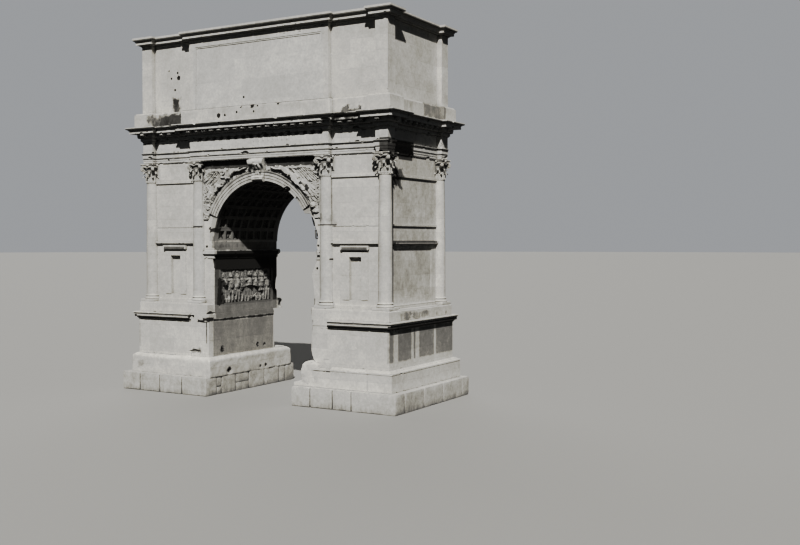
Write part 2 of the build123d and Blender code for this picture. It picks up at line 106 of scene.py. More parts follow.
def addLight():
    for name, settings in light["suns"].items():
        addSun(name, *settings)
    world = bpy.data.worlds.new("sky")
    world.use_nodes = True
    tree = world.node_tree
    height = Wire(tree).node("ShaderNodeTexCoord", {}, {}, "Generated").axis(2)
    sky, ground = (colour([c * light[part] for c in light["skyTone"]]) for part in ("sky", "ground"))
    shade = height.ramp(-light["horizon"], light["horizon"]).over(ground, sky)
    tree.links.new(shade.socket, tree.nodes["Background"].inputs["Color"])
    scene.world = world
    settings = scene.view_settings
    settings.view_transform = "Standard"
    settings.look = "None"
    settings.use_curve_mapping = True  # the print holds its whites back and its blacks down
    curve = settings.curve_mapping.curves[3]
    for number, (level, shown) in enumerate(light["print"]):
        if number < len(curve.points):
            curve.points[number].location = (level, shown)
        else:
            curve.points.new(level, shown)
    settings.curve_mapping.update()


# Shader maths: a wire wraps one output, so sums and products of wires add Math nodes

class Wire:
    def __init__(self, tree, socket=None):
        self.tree = tree
        self.socket = socket

    # any node: its type, its settings, then the values or links of its inputs
    def node(self, kind, settings, inputs, output=0):
        made = self.tree.nodes.new(kind)
        for name, value in settings.items():
            setattr(made, name, value)
        for name, value in inputs.items():
            if isinstance(value, Wire):
                self.tree.links.new(value.socket, made.inputs[name])
            else:
                made.inputs[name].default_value = value
        return Wire(self.tree, made.outputs[output])

    def math(self, operation, first, second):
        return self.node("ShaderNodeMath", {"operation": operation}, {0: first, 1: second})

    def __add__(self, other):
        return self.math("ADD", self, other)

    __radd__ = __add__

    def __sub__(self, other):
        return self.math("SUBTRACT", self, other)

    def __rsub__(self, other):
        return self.math("SUBTRACT", other, self)

    def __mul__(self, other):
        return self.math("MULTIPLY", self, other)

    __rmul__ = __mul__

    def max(self, other):
        return self.math("MAXIMUM", self, other)

    # 0 below low, 1 above high, smooth between
    def ramp(self, low, high):
        ends = {"Value": self, "From Min": low, "From Max": high}
        return self.node("ShaderNodeMapRange", {"interpolation_type": "SMOOTHSTEP"}, ends)

    # 1 between low and high, with a soft edge
    def band(self, low, high, edge):
        return self.ramp(low - edge, low) * (1 - self.ramp(high, high + edge))

    def vectorMath(self, operation, *others, output=0):
        inputs = dict(enumerate((self, *others)))
        return self.node("ShaderNodeVectorMath", {"operation": operation}, inputs, output)

    def vector(self, x, y, z):
        return self.node("ShaderNodeCombineXYZ", {}, {0: x, 1: y, 2: z})

    def stretch(self, x, y, z):
        return self.vectorMath("MULTIPLY", (x, y, z))

    def mirrored(self, *axes):
        flipped = self.vectorMath("ABSOLUTE")
        return self.vector(*((flipped if index in axes else self).axis(index) for index in range(3)))

    # 1 inside the box x0, x1, y0, y1, z0, z1, with an edge that wanders
    def box(self, spans, edge, wander):
        middle = [(spans[i] + spans[i + 1]) / 2 for i in (0, 2, 4)]
        half = [(spans[i + 1] - spans[i]) / 2 for i in (0, 2, 4)]
        offset = self.vectorMath("SUBTRACT", middle).vectorMath("ABSOLUTE").vectorMath("SUBTRACT", half)
        reach = offset.axis(0).max(offset.axis(1)).max(offset.axis(2)) + wander
        return 1 - reach.ramp(-edge, edge)

    def clouds(self, size, detail=4, rough=0.55):
        sizes = {"Vector": self, "Scale": size, "Detail": detail, "Roughness": rough}
        return self.node("ShaderNodeTexNoise", {}, sizes)

    # clouds and their ramp, as the table of clouds says
    def cloudy(self, name):
        size, detail, rough, low, high = cloudSizes[name]
        return self.clouds(size, detail, rough).ramp(low, high)

    def cells(self, scale, feature="F1"):
        return self.node("ShaderNodeTexVoronoi", {"feature": feature}, {"Vector": self, "Scale": scale})

    def axis(self, index):
        return self.node("ShaderNodeSeparateXYZ", {}, {0: self}, index)

    # a colour laid over another where the mask is 1
    def over(self, first, second, blend="MIX"):
        settings = {"data_type": "RGBA", "blend_type": blend}
        return self.node("ShaderNodeMix", settings, {0: self, 6: first, 7: second}, 2)


def colour(tone):
    return (*tone, 1)


# Stone finishes

cloudSizes = {  # size, detail, roughness, then where the ramp starts and ends
    "drift": (0.45, 5, 0.6, 0.35, 0.68),
    "mottle": (3.1, 6, 0.65, 0.3, 0.72),
    "speck": (9.5, 4, 0.7, 0.34, 0.66),
    "jointWear": (1.7, 3, 0.55, 0.36, 0.55),
    "pittedBeds": (2.3, 4, 0.55, 0.48, 0.6),
    "runs": (1, 4, 0.6, 0.47, 0.66),
    "fineRuns": (1, 3, 0.6, 0.42, 0.7),
    "patches": (0.9, 6, 0.7, 0.52, 0.72),
    "blotch": (2.2, 6, 0.7, 0.32, 0.62),
    "crustAndShade": (1.3, 5, 0.65, 0.2, 0.5),
}
travertine = {
    "base": (0.405, 0.39, 0.357),
    "pale": (0.77, 0.753, 0.71),
    "grime": (0.15, 0.142, 0.13),
    "stain": 0.4,
    "sootAndShade": 0.85,
    "corners": 0.25,
    "pits": 0.9,
    "courseHeight": 0.62,
    "blockLength": 1.9,
    "joint": 0.006,
    "jointDepth": 0.3,
    "rough": 0.82,
}
marble = {
    "base": (0.395, 0.386, 0.361),
    "pale": (0.765, 0.755, 0.722),
    "grime": (0.085, 0.08, 0.074),
    "stain": 0.6,
    "sootAndShade": 1.0,
    "corners": 0.5,
    "pits": 0.35,
    "courseHeight": 0.95,
    "blockLength": 2.4,
    "joint": 0.005,
    "jointDepth": 0.14,
    "rough": 0.68,
}
# a darker copy of the marble for the vault: painted shade, partly real crust
vaultStoneShaded = dict(marble, stain=1)
vaultStoneShaded.update(base=(0.33, 0.32, 0.295), pale=(0.5, 0.49, 0.465), grime=(0.05, 0.047, 0.043))
foundationStone = {
    "base": (0.3, 0.29, 0.265),
    "pale": (0.68, 0.663, 0.623),
    "grime": (0.10, 0.093, 0.082),
    "stain": 1.5,
    "sootAndShade": 0.9,
    "corners": 0.7,
    "pits": 1,
    "courseHeight": 50,
    "blockLength": 90,
    "joint": 0.001,
    "jointDepth": 0,
    "rough": 0.92,
}
surface = {  # the same for every stone
    # the near-black of crust, stains and painted shade
    "sootAndShade": (0.02, 0.019, 0.0175),
    "blockTone": 0.3,  # how much the blocks differ
    "darkBlock": 0.78,
    "streakEdge": 0.18,
    "lineEdge": 0.012,
    "hollow": 0.5,  # reach of the crust and painted shade in hollows and in corners
    "corner": 0.09,
    "bump": 0.55,
    "bumpDepth": 0.012,
    "gloss": 0.12,
}


def stone(name, look, streakBands=(), darkBoxes=(), darkLines=(), spots=(), rings=()):
    material = bpy.data.materials.new(name)
    material.use_nodes = True
    tree = material.node_tree
    shader = tree.nodes["Principled BSDF"]
    wire = Wire(tree)
    place = wire.node("ShaderNodeTexCoord", {}, {}, "Object")
    x, y, z = place.axis(0), place.axis(1), place.axis(2)
    # painted shade in the hollows of the carving, carried on the pieces
    cavityShade = wire.node("ShaderNodeAttribute", {"attribute_name": "cavityShade"}, {}, "Fac")

    # drifts of tone, from the whole wall down to the grain
    drift, mottle, speck = (place.cloudy(part) for part in ("drift", "mottle", "speck"))
    grain = place.stretch(1, 1, 3.2).clouds(38, 5, 0.7)
    share = drift * 0.36 + mottle * 0.36 + speck * 0.34 + grain * 0.16 - 0.08
    tone = share.over(colour(look["base"]), colour(look["pale"]))

    # coursed blocks: x + y runs along every wall, because one of the two stands still on each face
    sizes = {
        "Vector": wire.vector(x + y, z, 0),
        "Color1": (0, 0, 0, 1),
        "Color2": (1, 1, 1, 1),
        "Mortar": (0.5, 0.5, 0.5, 1),
        "Scale": 1,
        "Mortar Size": look["joint"],
        "Mortar Smooth": 0.3,
        "Bias": 0,
        "Brick Width": look["blockLength"],
        "Row Height": look["courseHeight"],
    }
    settings = {"offset": 0.43, "squash": 0.8, "squash_frequency": 3}
    joint = wire.node("ShaderNodeTexBrick", settings, sizes, "Fac")
    blockTone = wire.node("ShaderNodeTexBrick", settings, sizes, "Color").axis(0)
    joint = joint * place.cloudy("jointWear")
    darkBlock = colour([c * surface["darkBlock"] for c in look["base"]])
    tone = (blockTone * surface["blockTone"]).over(tone, darkBlock)
    tone = (joint * look["jointDepth"]).over(tone, colour(look["grime"]))

    # small holes in beds, as travertine has
    beds = place.stretch(1, 1, 2.6)
    holes = (1 - beds.cells(21).ramp(0.12, 0.26)) * place.cloudy("pittedBeds") * look["pits"]
    tone = (holes * 0.75).over(tone, colour([c * 0.55 for c in look["grime"]]))

    # rain streaks under the ledges
    runs = place.stretch(5.2, 5.2, 0.16).cloudy("runs") * 0.75
    runs = runs + place.stretch(17, 17, 0.5).cloudy("fineRuns") * 0.3
    stain = place.cloudy("patches") * look["stain"] * 0.35
    for low, high, strength in streakBands:
        stain = stain.max(z.band(low, high, surface["streakEdge"]) * runs * strength)
    tone = stain.over(tone, colour(look["grime"]))

    # stains and painted shade: boxes, painted shadow lines under mouldings, painted shadow rings along the
    # archivolt and painted shade in holes, of which the darkest counts
    ragged = place.clouds(2.6, 5, 0.65) - 0.5
    blotch = place.stretch(1, 1, 0.45).cloudy("blotch")
    folds = {"": place, "x": place.mirrored(0), "xy": place.mirrored(0, 1)}
    masks = []
    for patch in darkBoxes:
        wander = ragged * patch["wander"]
        if patch["waves"]:  # shade of a row of brackets
            wander = wander + wire.math("PINGPONG", x + y, patch["waves"] / 2) * 0.45
        inside = folds[patch["fold"]].box(patch["box"], patch["edge"], wander)
        for low, high in patch["clean"]:  # washed strips
            inside = inside * (1 - (y + ragged * 0.12).band(low, high, 0.05))
        masks.append(inside * (patch["even"] + blotch * (1 - patch["even"])) * patch["strength"])
    # painted shadow lines under the steps of the mouldings
    for level, half in darkLines:
        masks.append(z.band(level - half, level + half, surface["lineEdge"]) * (0.75 + blotch * 0.25))
    # painted shadow rings along the archivolt's mouldings
    if rings:  # they start above the lost ends of the archivolt
        radius = wire.vector(x, 0, z - arch["spring"]).vectorMath("LENGTH", output=1)
        for middle, half in rings:
            line = radius.band(middle - half, middle + half, surface["lineEdge"]) * z.ramp(7.6, 7.7)
            masks.append(line * (0.45 + blotch * 0.45))
    # painted shade in small holes
    for *spot, size in spots:
        away = place.vectorMath("DISTANCE", spot, output=1)
        masks.append(1 - (away + ragged * size * 2.4).ramp(size * 0.8, size * 1.15))
    stainAndShade = 0
    for mask in masks:
        stainAndShade = mask.max(stainAndShade)
    if masks:
        tone = stainAndShade.over(tone, colour(surface["sootAndShade"]))

    # black crust, partly real and partly painted shade: undersides, deep hollows and narrow corners are
    # darkened by which way they face and by ambient occlusion
    normal = wire.node("ShaderNodeNewGeometry", {}, {}, "Normal")
    under = (0 - normal.axis(2)).ramp(0.15, 0.75)
    openness = wire.node("ShaderNodeAmbientOcclusion", {"samples": 6}, {"Distance": surface["hollow"]}, "AO")
    corner = wire.node("ShaderNodeAmbientOcclusion", {"samples": 4}, {"Distance": surface["corner"]}, "AO")
    hollow = (1 - openness.ramp(0.12, 0.62)) * 0.9
    crustAndShade = under.max(hollow).max((1 - corner.ramp(0.2, 0.7)) * look["corners"]).max(cavityShade) * look["sootAndShade"]
    crustAndShade = crustAndShade * (place.cloudy("crustAndShade") * 0.35 + 0.65)
    tone = crustAndShade.over(tone, colour(surface["sootAndShade"]))

    height = grain * 0.22 + mottle * 0.25 + place.clouds(11, 6, 0.7) * 0.35 - holes * 0.8 - joint * 0.9
    sizes = {"Strength": surface["bump"], "Distance": surface["bumpDepth"], "Height": height}
    bump = wire.node("ShaderNodeBump", {}, sizes)
    tree.links.new(tone.socket, shader.inputs["Base Color"])
    tree.links.new(bump.socket, shader.inputs["Normal"])
    dull = look["rough"] + stainAndShade * 0.1 - grain * 0.08
    tree.links.new(dull.socket, shader.inputs["Roughness"])
    shader.inputs["Specular IOR Level"].default_value = surface["gloss"]
    return material


# a dark box x0, x1, y0, y1, z0, z1 in metres; a folded one repeats on the other sides
def darkBox(*box, strength=1, even=0.5, edge=0.03, wander=0, fold="", clean=(), waves=0):
    return {"box": box, "strength": strength, "even": even, "edge": edge, "wander": wander, "fold": fold,
            "clean": clean, "waves": waves}


ledges = [(15.7, 16.2, 0.15), (2.9, 3.35, 0.1)]
# stains and painted shade, box by box: painted cast shadows, painted shade under mouldings and in recesses,
# and real stains
stainsAndPaintedShade = [
    # podium: painted shade under the cap, in its profile and under its broken pieces; stains on the side dado
    # and the passage dado; holes, joints and lines
    darkBox(0, 6.99, 2.845, 3.06, 3.38, 3.505, even=0.95, edge=0.012, fold="xy"),
    darkBox(6.985, 7.25, 0, 3.06, 3.365, 3.565, even=0.95, edge=0.01, fold="xy"),
    darkBox(6.985, 7.25, 0, 3.06, 3.605, 3.64, even=0.95, edge=0.01, fold="xy"),
    darkBox(6.9, 7.02, -2.83, 2.87, 2.04, 3.36, strength=0.6, even=0.9, edge=0.05, wander=0.2, fold="x",
            clean=[(-2.46, -2.13), (-0.97, -0.82), (-0.62, -0.32), (1.05, 1.2)]),
    darkBox(6.9, 7.0, -1.87, 0.67, 3.75, 4.0, strength=0.7, even=0.4, edge=0.05, wander=0.6),
    darkBox(6.9, 7.0, 1.3, 1.42, 3.76, 3.9, strength=0.6),
    darkBox(6.9, 7.0, 2.15, 2.34, 3.76, 3.9, strength=0.6),
    darkBox(2.5, 2.7, -2.52, 1.95, 1.74, 3.33, strength=0.52, even=0.75, wander=0.06, fold="x"),
    darkBox(-6.8, -6.5, -3.2, -3.0, 1.05, 1.36, strength=0.5, even=0.3, edge=0.05, wander=0.8),
    darkBox(-2.8, -2.735, -2.9, -2.8, 2.35, 3.35, strength=0.95, even=0.85, edge=0.015, wander=0.05),
    darkBox(-3.28, -2.9, -2.95, -2.7, 3.31, 3.42, even=1, edge=0.03, wander=0.2),
    darkBox(-3.0, -2.5, -2.95, -2.5, 3.37, 3.53, even=1, edge=0.03, wander=0.25),
    darkBox(-3.78, -3.15, -2.9, -2.7, 1.86, 2.06, strength=0.8, even=0.5, edge=0.04, wander=0.6),
    darkBox(6.055, 6.085, -3.2, -3.0, 0.88, 1.3, strength=0.6, edge=0.012),
    darkBox(3.72, 4.0, -2.9, -2.8, 2.0, 2.045, strength=0.6, edge=0.015, wander=0.03),
    darkBox(3.1, 3.95, -2.86, -2.8, 3.415, 3.455, strength=0.75, edge=0.012),
    # passage walls: dark-stained marble, painted shadow under the impost, painted shade behind and beside the
    # figures, cracks, and painted shade in the vault
    darkBox(2.55, 3, -2.32, 2.33, 3.45, 7.02, strength=0.62, even=0.8, wander=0.1, fold="x"),
    darkBox(2.45, 3, -2.32, 2.33, 5.7, 6.6, even=1, wander=0.1, fold="x"),
    darkBox(2.55, 3, -2.16, -1.68, 4.1, 5.35, even=0.95, wander=0.4, fold="x"),
    darkBox(2.55, 3, -2.32, -2.0, 4.1, 5.9, strength=0.86, even=0.8, wander=0.1, fold="x"),
    darkBox(2.55, 3, 2.0, 2.33, 4.1, 5.9, strength=0.97, even=0.9, wander=0.1, fold="x"),
    darkBox(2.55, 3, -2.5, 2.33, 3.345, 3.45, even=1, edge=0.02, wander=0.16, fold="x"),
    darkBox(2.55, 3, -2.32, 2.33, 6.74, 6.94, strength=0.8, even=0.1, wander=0.3, fold="x"),
    darkBox(2.715, 3, -2.0, 2.0, 4.05, 5.81, strength=0.64, even=0.5, fold="x"),
    darkBox(0, 2.96, -2.34, 2.36, 7.1, 10.2, strength=0.45, even=0.6, wander=0.1, fold="x"),
    # painted shade: the deep shadow under the architrave over the spandrel figures, then a lighter darkening
    # of the spandrels
    darkBox(0.42, 3.14, 2.3, 2.56, 10.33, 10.72, strength=0.97, even=0.9, edge=0.02, wander=0.35,
            fold="xy"),
    darkBox(0.4, 3.3, 2.3, 2.6, 8.05, 10.4, strength=0.36, even=0.2, edge=0.1, wander=0.3, fold="xy"),
    # painted shade on the capitals, and the painted shadow of the brackets, scalloped, at the head of the
    # frieze
    darkBox(3.05, 4.05, 2.3, 3.2, 9.9, 10.66, strength=0.4, even=0.3, edge=0.1, wander=0.5, fold="xy"),
    darkBox(6.0, 7.0, 1.9, 3.2, 9.9, 10.66, strength=0.4, even=0.3, edge=0.1, wander=0.5, fold="xy"),
    darkBox(0, 3.6, 2.6, 3, 11.595, 11.8, strength=0.85, even=1, edge=0.02, wander=0.1, fold="xy",
            waves=0.42),
    # front haunch of the left pier
    darkBox(-2.76, -2.2, -2.3, -1.85, 7.62, 8.6, strength=0.96, even=0.8, edge=0.06, wander=0.4),
    darkBox(-2.93, -2.5, -2.6, -1.95, 7.45, 7.64, even=1, wander=0.3),
    darkBox(-2.83, -2.5, -2.45, -2.0, 6.72, 7.3, strength=0.6, even=0.1, wander=0.4),
    darkBox(-3.8, -3.3, -2.9, -2.3, 7.66, 7.75, strength=0.95, even=0.9, edge=0.012, wander=0.06),
    # joints and holes round the column right of the passage, and a painted shade line where each inner column
    # meets the wall
    darkBox(3.1, 4.1, -2.95, -2.3, 7.705, 7.765, strength=0.95, even=0.9, edge=0.01, wander=0.03),
    darkBox(3.15, 4.0, -2.95, -2.3, 7.8, 8.15, strength=0.5, even=0, edge=0.1, wander=1.2),
    darkBox(3.74, 3.92, -2.53, -2.3, 6.23, 6.31, strength=0.97, even=0.95, edge=0.012),
    darkBox(3.8, 3.88, 2.3, 2.42, 7.75, 9.8, strength=0.6, even=0.5, edge=0.02, fold="xy"),
    darkBox(3.66, 3.7, -2.42, -2.3, 4.3, 4.7, strength=0.5, even=0.3, edge=0.02, wander=0.1),
    # walls: painted shade under the window heads and in the upper moulding of the hood on the sides, painted
    # shadows of the corner column, its capital and the cornice on the side wall, stains on the side wall,
    # slightly darker column shafts and thin level lines
    darkBox(4.4, 5.68, 2.38, 2.7, 6.57, 6.79, strength=0.85, even=0.85, edge=0.015, fold="xy"),
    darkBox(6.44, 6.67, -2.06, -1.7, 4.28, 9.74, strength=0.97, even=0.9, edge=0.015),
    darkBox(6.45, 6.72, 0, 1.97, 6.965, 7.06, strength=0.9, even=0.9, edge=0.012, fold="xy"),
    darkBox(6.3, 6.56, -1.6, 1.9, 4.6, 9.7, strength=0.27, even=0, edge=0.15, wander=1, fold="x"),
    darkBox(6.3, 6.7, -1.75, -1.0, 9.3, 10.1, strength=0.97, even=0.7, edge=0.06, wander=0.9),
    darkBox(6.4, 6.9, -2.69, -0.1, 10.5, 11.3, strength=0.97, even=0.95, edge=0.025, wander=0.04),
    darkBox(3.1, 4.02, 2.43, 2.8, 4.5, 9.83, strength=0.13, even=0.7, wander=0.2, fold="xy"),
    darkBox(6.07, 6.93, 2.38, 2.8, 4.5, 9.83, strength=0.13, even=0.7, wander=0.2, fold="xy"),
    darkBox(6.4, 6.75, -1.75, 2.1, 4.285, 4.315, strength=0.75, even=0.7, edge=0.012),
    darkBox(6.4, 7.0, -1.9, 2.9, 4.145, 4.17, strength=0.4, even=0.6, edge=0.012),
    darkBox(2.9, 6.95, 2.3, 2.85, 4.3, 4.32, strength=0.3, even=0.5, edge=0.012, fold="xy"),
    darkBox(2.9, 6.95, 2.3, 2.85, 4.13, 4.15, strength=0.3, even=0.5, edge=0.012, fold="xy"),
    # attic: stains in the recesses, a dark line over the base
    darkBox(6.4, 7.1, 0.31, 1.91, 12.46, 13.1, strength=0.6, even=0.6, edge=0.05, wander=0.5, fold="x"),
    darkBox(6.4, 7.1, -1.5, -0.6, 12.5, 13.0, strength=0.35, even=0.2, edge=0.1, wander=0.7, fold="x"),
    darkBox(-5.75, -4.2, -2.95, -2.5, 12.4, 13.0, strength=0.98, even=0.92, edge=0.1, wander=0.8),
    darkBox(-6.2, -5.3, -2.95, -2.5, 12.4, 12.9, strength=0.9, even=0.2, edge=0.2, wander=1.2),
    darkBox(-5.08, -4.66, -2.6, -2.3, 12.9, 13.7, strength=0.98, even=0.7, edge=0.1, wander=0.8),
    darkBox(4.5, 5.5, -3, -2.5, 12.2, 12.62, strength=0.97, even=0.7, edge=0.08, wander=1.4),
    darkBox(-4.1, 4.1, -3, -2.8, 12.42, 12.95, strength=0.3, even=0, edge=0.15, wander=0.8),
    darkBox(-4.12, 4.1, -3, -2.6, 13.03, 13.07, strength=0.9, even=0.5, edge=0.01, wander=0.05),
]
marks = [  # painted shade of small holes: place and size
    (-5.33, -2.45, 15.04, 0.05), (-4.8, -2.45, 14.92, 0.06), (-4.73, -2.45, 14.65, 0.1),
    (-5.18, -2.45, 14.67, 0.06), (-4.96, -2.45, 14.12, 0.06), (-0.71, -2.66, 13.46, 0.07),
    (-0.1, -2.66, 13.5, 0.05), (-0.02, -2.93, 13.02, 0.12), (-0.62, -2.93, 13.0, 0.07),
    (0.32, -2.93, 12.98, 0.07), (0.1, -2.93, 12.74, 0.06), (1.42, -2.93, 13.02, 0.08),
    (-1.9, -2.93, 12.67, 0.1), (-1.53, -2.93, 12.68, 0.06), (-3.12, -2.36, 6.79, 0.06),
    (-2.63, -1.9, 2.03, 0.16), (-2.63, 0.72, 2.02, 0.12), (-2.63, 1.25, 1.97, 0.09),
    (-2.36, -1.7, 1.06, 0.14), (-2.36, 0.6, 1.0, 0.08), (-2.36, 1.0, 1.01, 0.08), (3.09, -2.38, 5.87, 0.05),
    (3.13, -2.38, 6.85, 0.06), (-0.86, -2.93, 12.78, 0.05),
]
# painted shadow lines under the fasciae of the architrave, and painted shadow rings along the archivolt:
# level or radius, and half width
fasciaShadowLines = [(11.165, 0.022), (10.925, 0.02), (10.73, 0.01)]
archShadowRings = [(2.822, 0.006), (2.948, 0.012), (3.062, 0.018)]
finish = {
    "travertine": stone("travertine_plain", travertine, ledges, stainsAndPaintedShade, (), marks),
    "marble": stone("marble_weathered", marble, [(11.3, 11.75, 0.1)], stainsAndPaintedShade, fasciaShadowLines, (), archShadowRings),
    "foundation_stone": stone("foundation_blocks", foundationStone, [(0, 0.16, 0.4)]),
    "panel_marble": stone("marble_bare_panel", marble, [(15.6, 16.2, 0.2)], (), (), marks),
    "vault_marble": stone("marble_vault_shaded", vaultStoneShaded, (), stainsAndPaintedShade),
}
print("stone finishes made")


floorLook = {"reach": 700, "tone": (0.27, 0.267, 0.258), "rough": 0.95}
backdropLook = {"reach": 600, "foot": -30, "top": 900, "tone": (0.93, 0.96, 1), "glow": 0.27}


def plainMaterial(name, values):
    material = bpy.data.materials.new(name)
    material.use_nodes = True
    shader = material.node_tree.nodes["Principled BSDF"]
    for socket, value in values.items():
        shader.inputs[socket].default_value = value
    return material


def addFloor():
    reach = floorLook["reach"]
    corners = [(-reach, -reach, 0), (reach, -reach, 0), (reach, reach, 0), (-reach, reach, 0)]
    mesh = newMesh("floor", corners, [(0, 1, 2, 3)])
    values = {"Base Color": colour(floorLook["tone"]), "Roughness": floorLook["rough"]}
    mesh.materials.append(plainMaterial("floor_pale", values))
    floor = newObject("floor", mesh)
    floor.visible_diffuse = False  # so that it throws no light up


# a pale round wall far off, which the camera alone sees
def addBackdrop():
    reach = backdropLook["reach"]
    mesh = newMesh("backdrop", *lathe([(reach, backdropLook["foot"]), (reach, backdropLook["top"])], 64))
    values = {
        "Base Color": colour((0, 0, 0)),
        "Emission Color": colour(backdropLook["tone"]),
        "Emission Strength": backdropLook["glow"],
        "Specular IOR Level": 0,
    }
    mesh.materials.append(plainMaterial("backdrop_pale", values))
    backdrop = newObject("backdrop", mesh)
    backdrop.visible_diffuse = backdrop.visible_glossy = backdrop.visible_shadow = False


# Mesh helpers

def newMesh(name, points, faces):
    mesh = bpy.data.meshes.new(name)
    mesh.from_pydata(np.asarray(points).tolist(), [], [list(face) for face in faces])
    return mesh


# the mesh of an object with its modifiers applied
def applied(body):
    return bpy.data.meshes.new_from_object(body.evaluated_get(bpy.context.evaluated_depsgraph_get()))


# points, each moved by a rule, and faces of a bmesh that is then done with
def shaped(made, move):
    points = [move(vertex.co) for vertex in made.verts]
    faces = [[vertex.index for vertex in face.verts] for face in made.faces]
    made.free()
    return np.array(points), faces


def smoothed(mesh, angle):
    mesh.shade_smooth()
    mesh.set_sharp_from_angle(angle=math.radians(angle))


def slotOf(node):
    for subpart in frame["record"]["subparts"]:
        if subpart["node"] == node:
            return subpart["material_slot"]


def addPiece(name, points, faces, slot, angle, cavityShade=None):
    mesh = newMesh(name, points, faces)
    mesh.materials.append(finish[slot])
    # painted shade for the hollows, read by the stone
    if cavityShade is not None:
        layer = mesh.attributes.new("cavityShade", "FLOAT", "POINT")
        layer.data.foreach_set("value", np.asarray(cavityShade, np.float32))
    smoothed(mesh, angle)
    piece = newObject(name, mesh)
    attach(piece, "root")
    return piece


# one mesh from many (points, faces) parts
def joined(parts):
    points, faces, start = [], [], 0
    for partPoints, partFaces in parts:
        points.append(np.asarray(partPoints, float))
        faces += [[corner + start for corner in face] for face in partFaces]
        start += len(partPoints)
    return np.concatenate(points), faces


def gridFaces(rows, columns, closed=False):
    faces = []
    across = columns if closed else columns - 1
    for row in range(rows - 1):
        for column in range(across):
            right = (column + 1) % columns
            low, high = row * columns, (row + 1) * columns
            faces.append((low + column, low + right, high + right, high + column))
    return faces


def lathe(profile, around=48):
    turns = np.linspace(0, 2 * math.pi, around, endpoint=False)
    points = [(r * math.cos(t), r * math.sin(t), z) for r, z in profile for t in turns]
    return np.array(points), gridFaces(len(profile), around, True)


def placed(part, matrix):
    points, faces = part
    homogeneous = np.c_[np.asarray(points, float), np.ones(len(points))]
    return (homogeneous @ np.array(matrix).T)[:, :3], faces


def turned(angle):
    return Matrix.Rotation(math.radians(angle), 4, "Z")


addCamera()
addLight()
addFloor()
addBackdrop()
print("camera, light and floor set")


# Worn copies of the CAD courses

wear = {
    "seed": 5,
    "perMetre": {"travertine": 0.7, "marble": 2.2, "vault_marble": 0.4, "panel_marble": 0.5},  # chips
    "small": 0.018,
    "large": {"travertine": 0.05, "marble": 0.11, "vault_marble": 0.04, "panel_marble": 0.03},
    "columnDent": {"inner": 0.006, "outer": 0.003},
    "capitalDent": {"inner": 0.008, "outer": 0.004},
}


def roughStone(centre, radii, rng, seedShift=0):
    made = bmesh.new()
    bmesh.ops.create_icosphere(made, subdivisions=2, radius=1)
    spin = Matrix.Rotation(rng.uniform(0, 6.28), 3, (rng.uniform(-1, 1), rng.uniform(-1, 1), 1))

    def move(way):
        shift = noise.noise(way * 1.7 + Vector((seedShift, rng.random() * 0.01, 0)))
        point = spin @ (way * (1 + 0.45 * shift))
        return [centre[i] + point[i] * radii[i] for i in range(3)]

    return shaped(made, move)


# a closed prism whose inner side, a line in plan for each height, is broken stone
def raggedPrism(levels, lineAt, farAt, rough, seed):
    rings, shift = [], Vector((seed * 7.3, seed * 1.9, 0))
    for z in levels:
        ring = []
        line = lineAt(z)
        for x, y in line:
            lump = noise.noise_vector(Vector((x, y, z)) * 2.1 + shift) * rough
            lump += noise.noise_vector(Vector((x, y, z)) * 6.5 + shift) * rough * 0.45
            ring.append((x + lump.x, y + lump.y, z))
        ring += [(x, y, z) for x, y in farAt(z)]
        rings.append(ring)
    count = len(rings[0])
    faces = gridFaces(len(rings), count, True)
    faces.append(tuple(range(count - 1, -1, -1)))
    faces.append(tuple(range((len(rings) - 1) * count, len(rings) * count)))
    return np.array([point for ring in rings for point in ring]), faces


jamb = {"steps": 6, "front": -2.37, "past": 0.06, "behind": 0.5, "before": -3.3, "rough": 0.07}
dado = {"inner": 2.63, "steps": 8, "front": -2.84, "past": 0, "behind": 0.4, "before": -3.33, "rough": 0.05}


# the broken corner of a right-hand course: stations of (z, x of the broken edge), the x of the sound
# corner at a height, and the heights of the prism's rings
def cornerLoss(stations, soundAt, levels, look, seed):
    heights, edges = zip(*stations)

    def reach(z):
        deep = float(np.interp(z, heights, edges)) - soundAt(z)
        return soundAt(z), deep, 1.5 * deep + look["past"]

    def line(z):
        sound, deep, back = reach(z)
        shares = [step / look["steps"] for step in range(look["steps"] + 1)]
        return [(sound + deep * (1 - t), look["front"] + back * t) for t in shares]

    def far(z):
        sound, deep, back = reach(z)
        hidden = sound - look["behind"]
        return [(hidden, look["front"] + back), (hidden, look["before"]), (sound + deep, look["before"])]

    return raggedPrism(levels, line, far, look["rough"], seed)


# half the width of the passage: upright jambs, then the round of the arch
def passageHalf(z):
    return arch["half"] if z < arch["spring"] else math.sqrt(arch["half"] ** 2 - (z - arch["spring"]) ** 2)


def straightLoss(start, end, far, z0, z1, rough, seed):
    line = [tuple(a + (b - a) * i / 9 for a, b in zip(start, end)) for i in range(10)]
    return raggedPrism(np.linspace(z0, z1, 12), lambda z: line, lambda z: far, rough, seed)


def convexEdges(mesh):
    made = bmesh.new()
    made.from_mesh(mesh)
    found = []
    for edge in made.edges:
        if len(edge.link_faces) == 2 and edge.calc_length() > 0.12:
            if edge.calc_face_angle_signed() > 0.6:
                found.append((edge.verts[0].co.copy(), edge.verts[1].co.copy()))
    made.free()
    return found


def cleanCopy(node):
    made = bmesh.new()
    made.from_mesh(nodes[node].data)
    bmesh.ops.remove_doubles(made, verts=made.verts, dist=0.00005)
    bmesh.ops.dissolve_degenerate(made, edges=made.edges, dist=0.00002)
    mesh = bpy.data.meshes.new(node + "_worn")
    made.to_mesh(mesh)
    made.free()
    return mesh


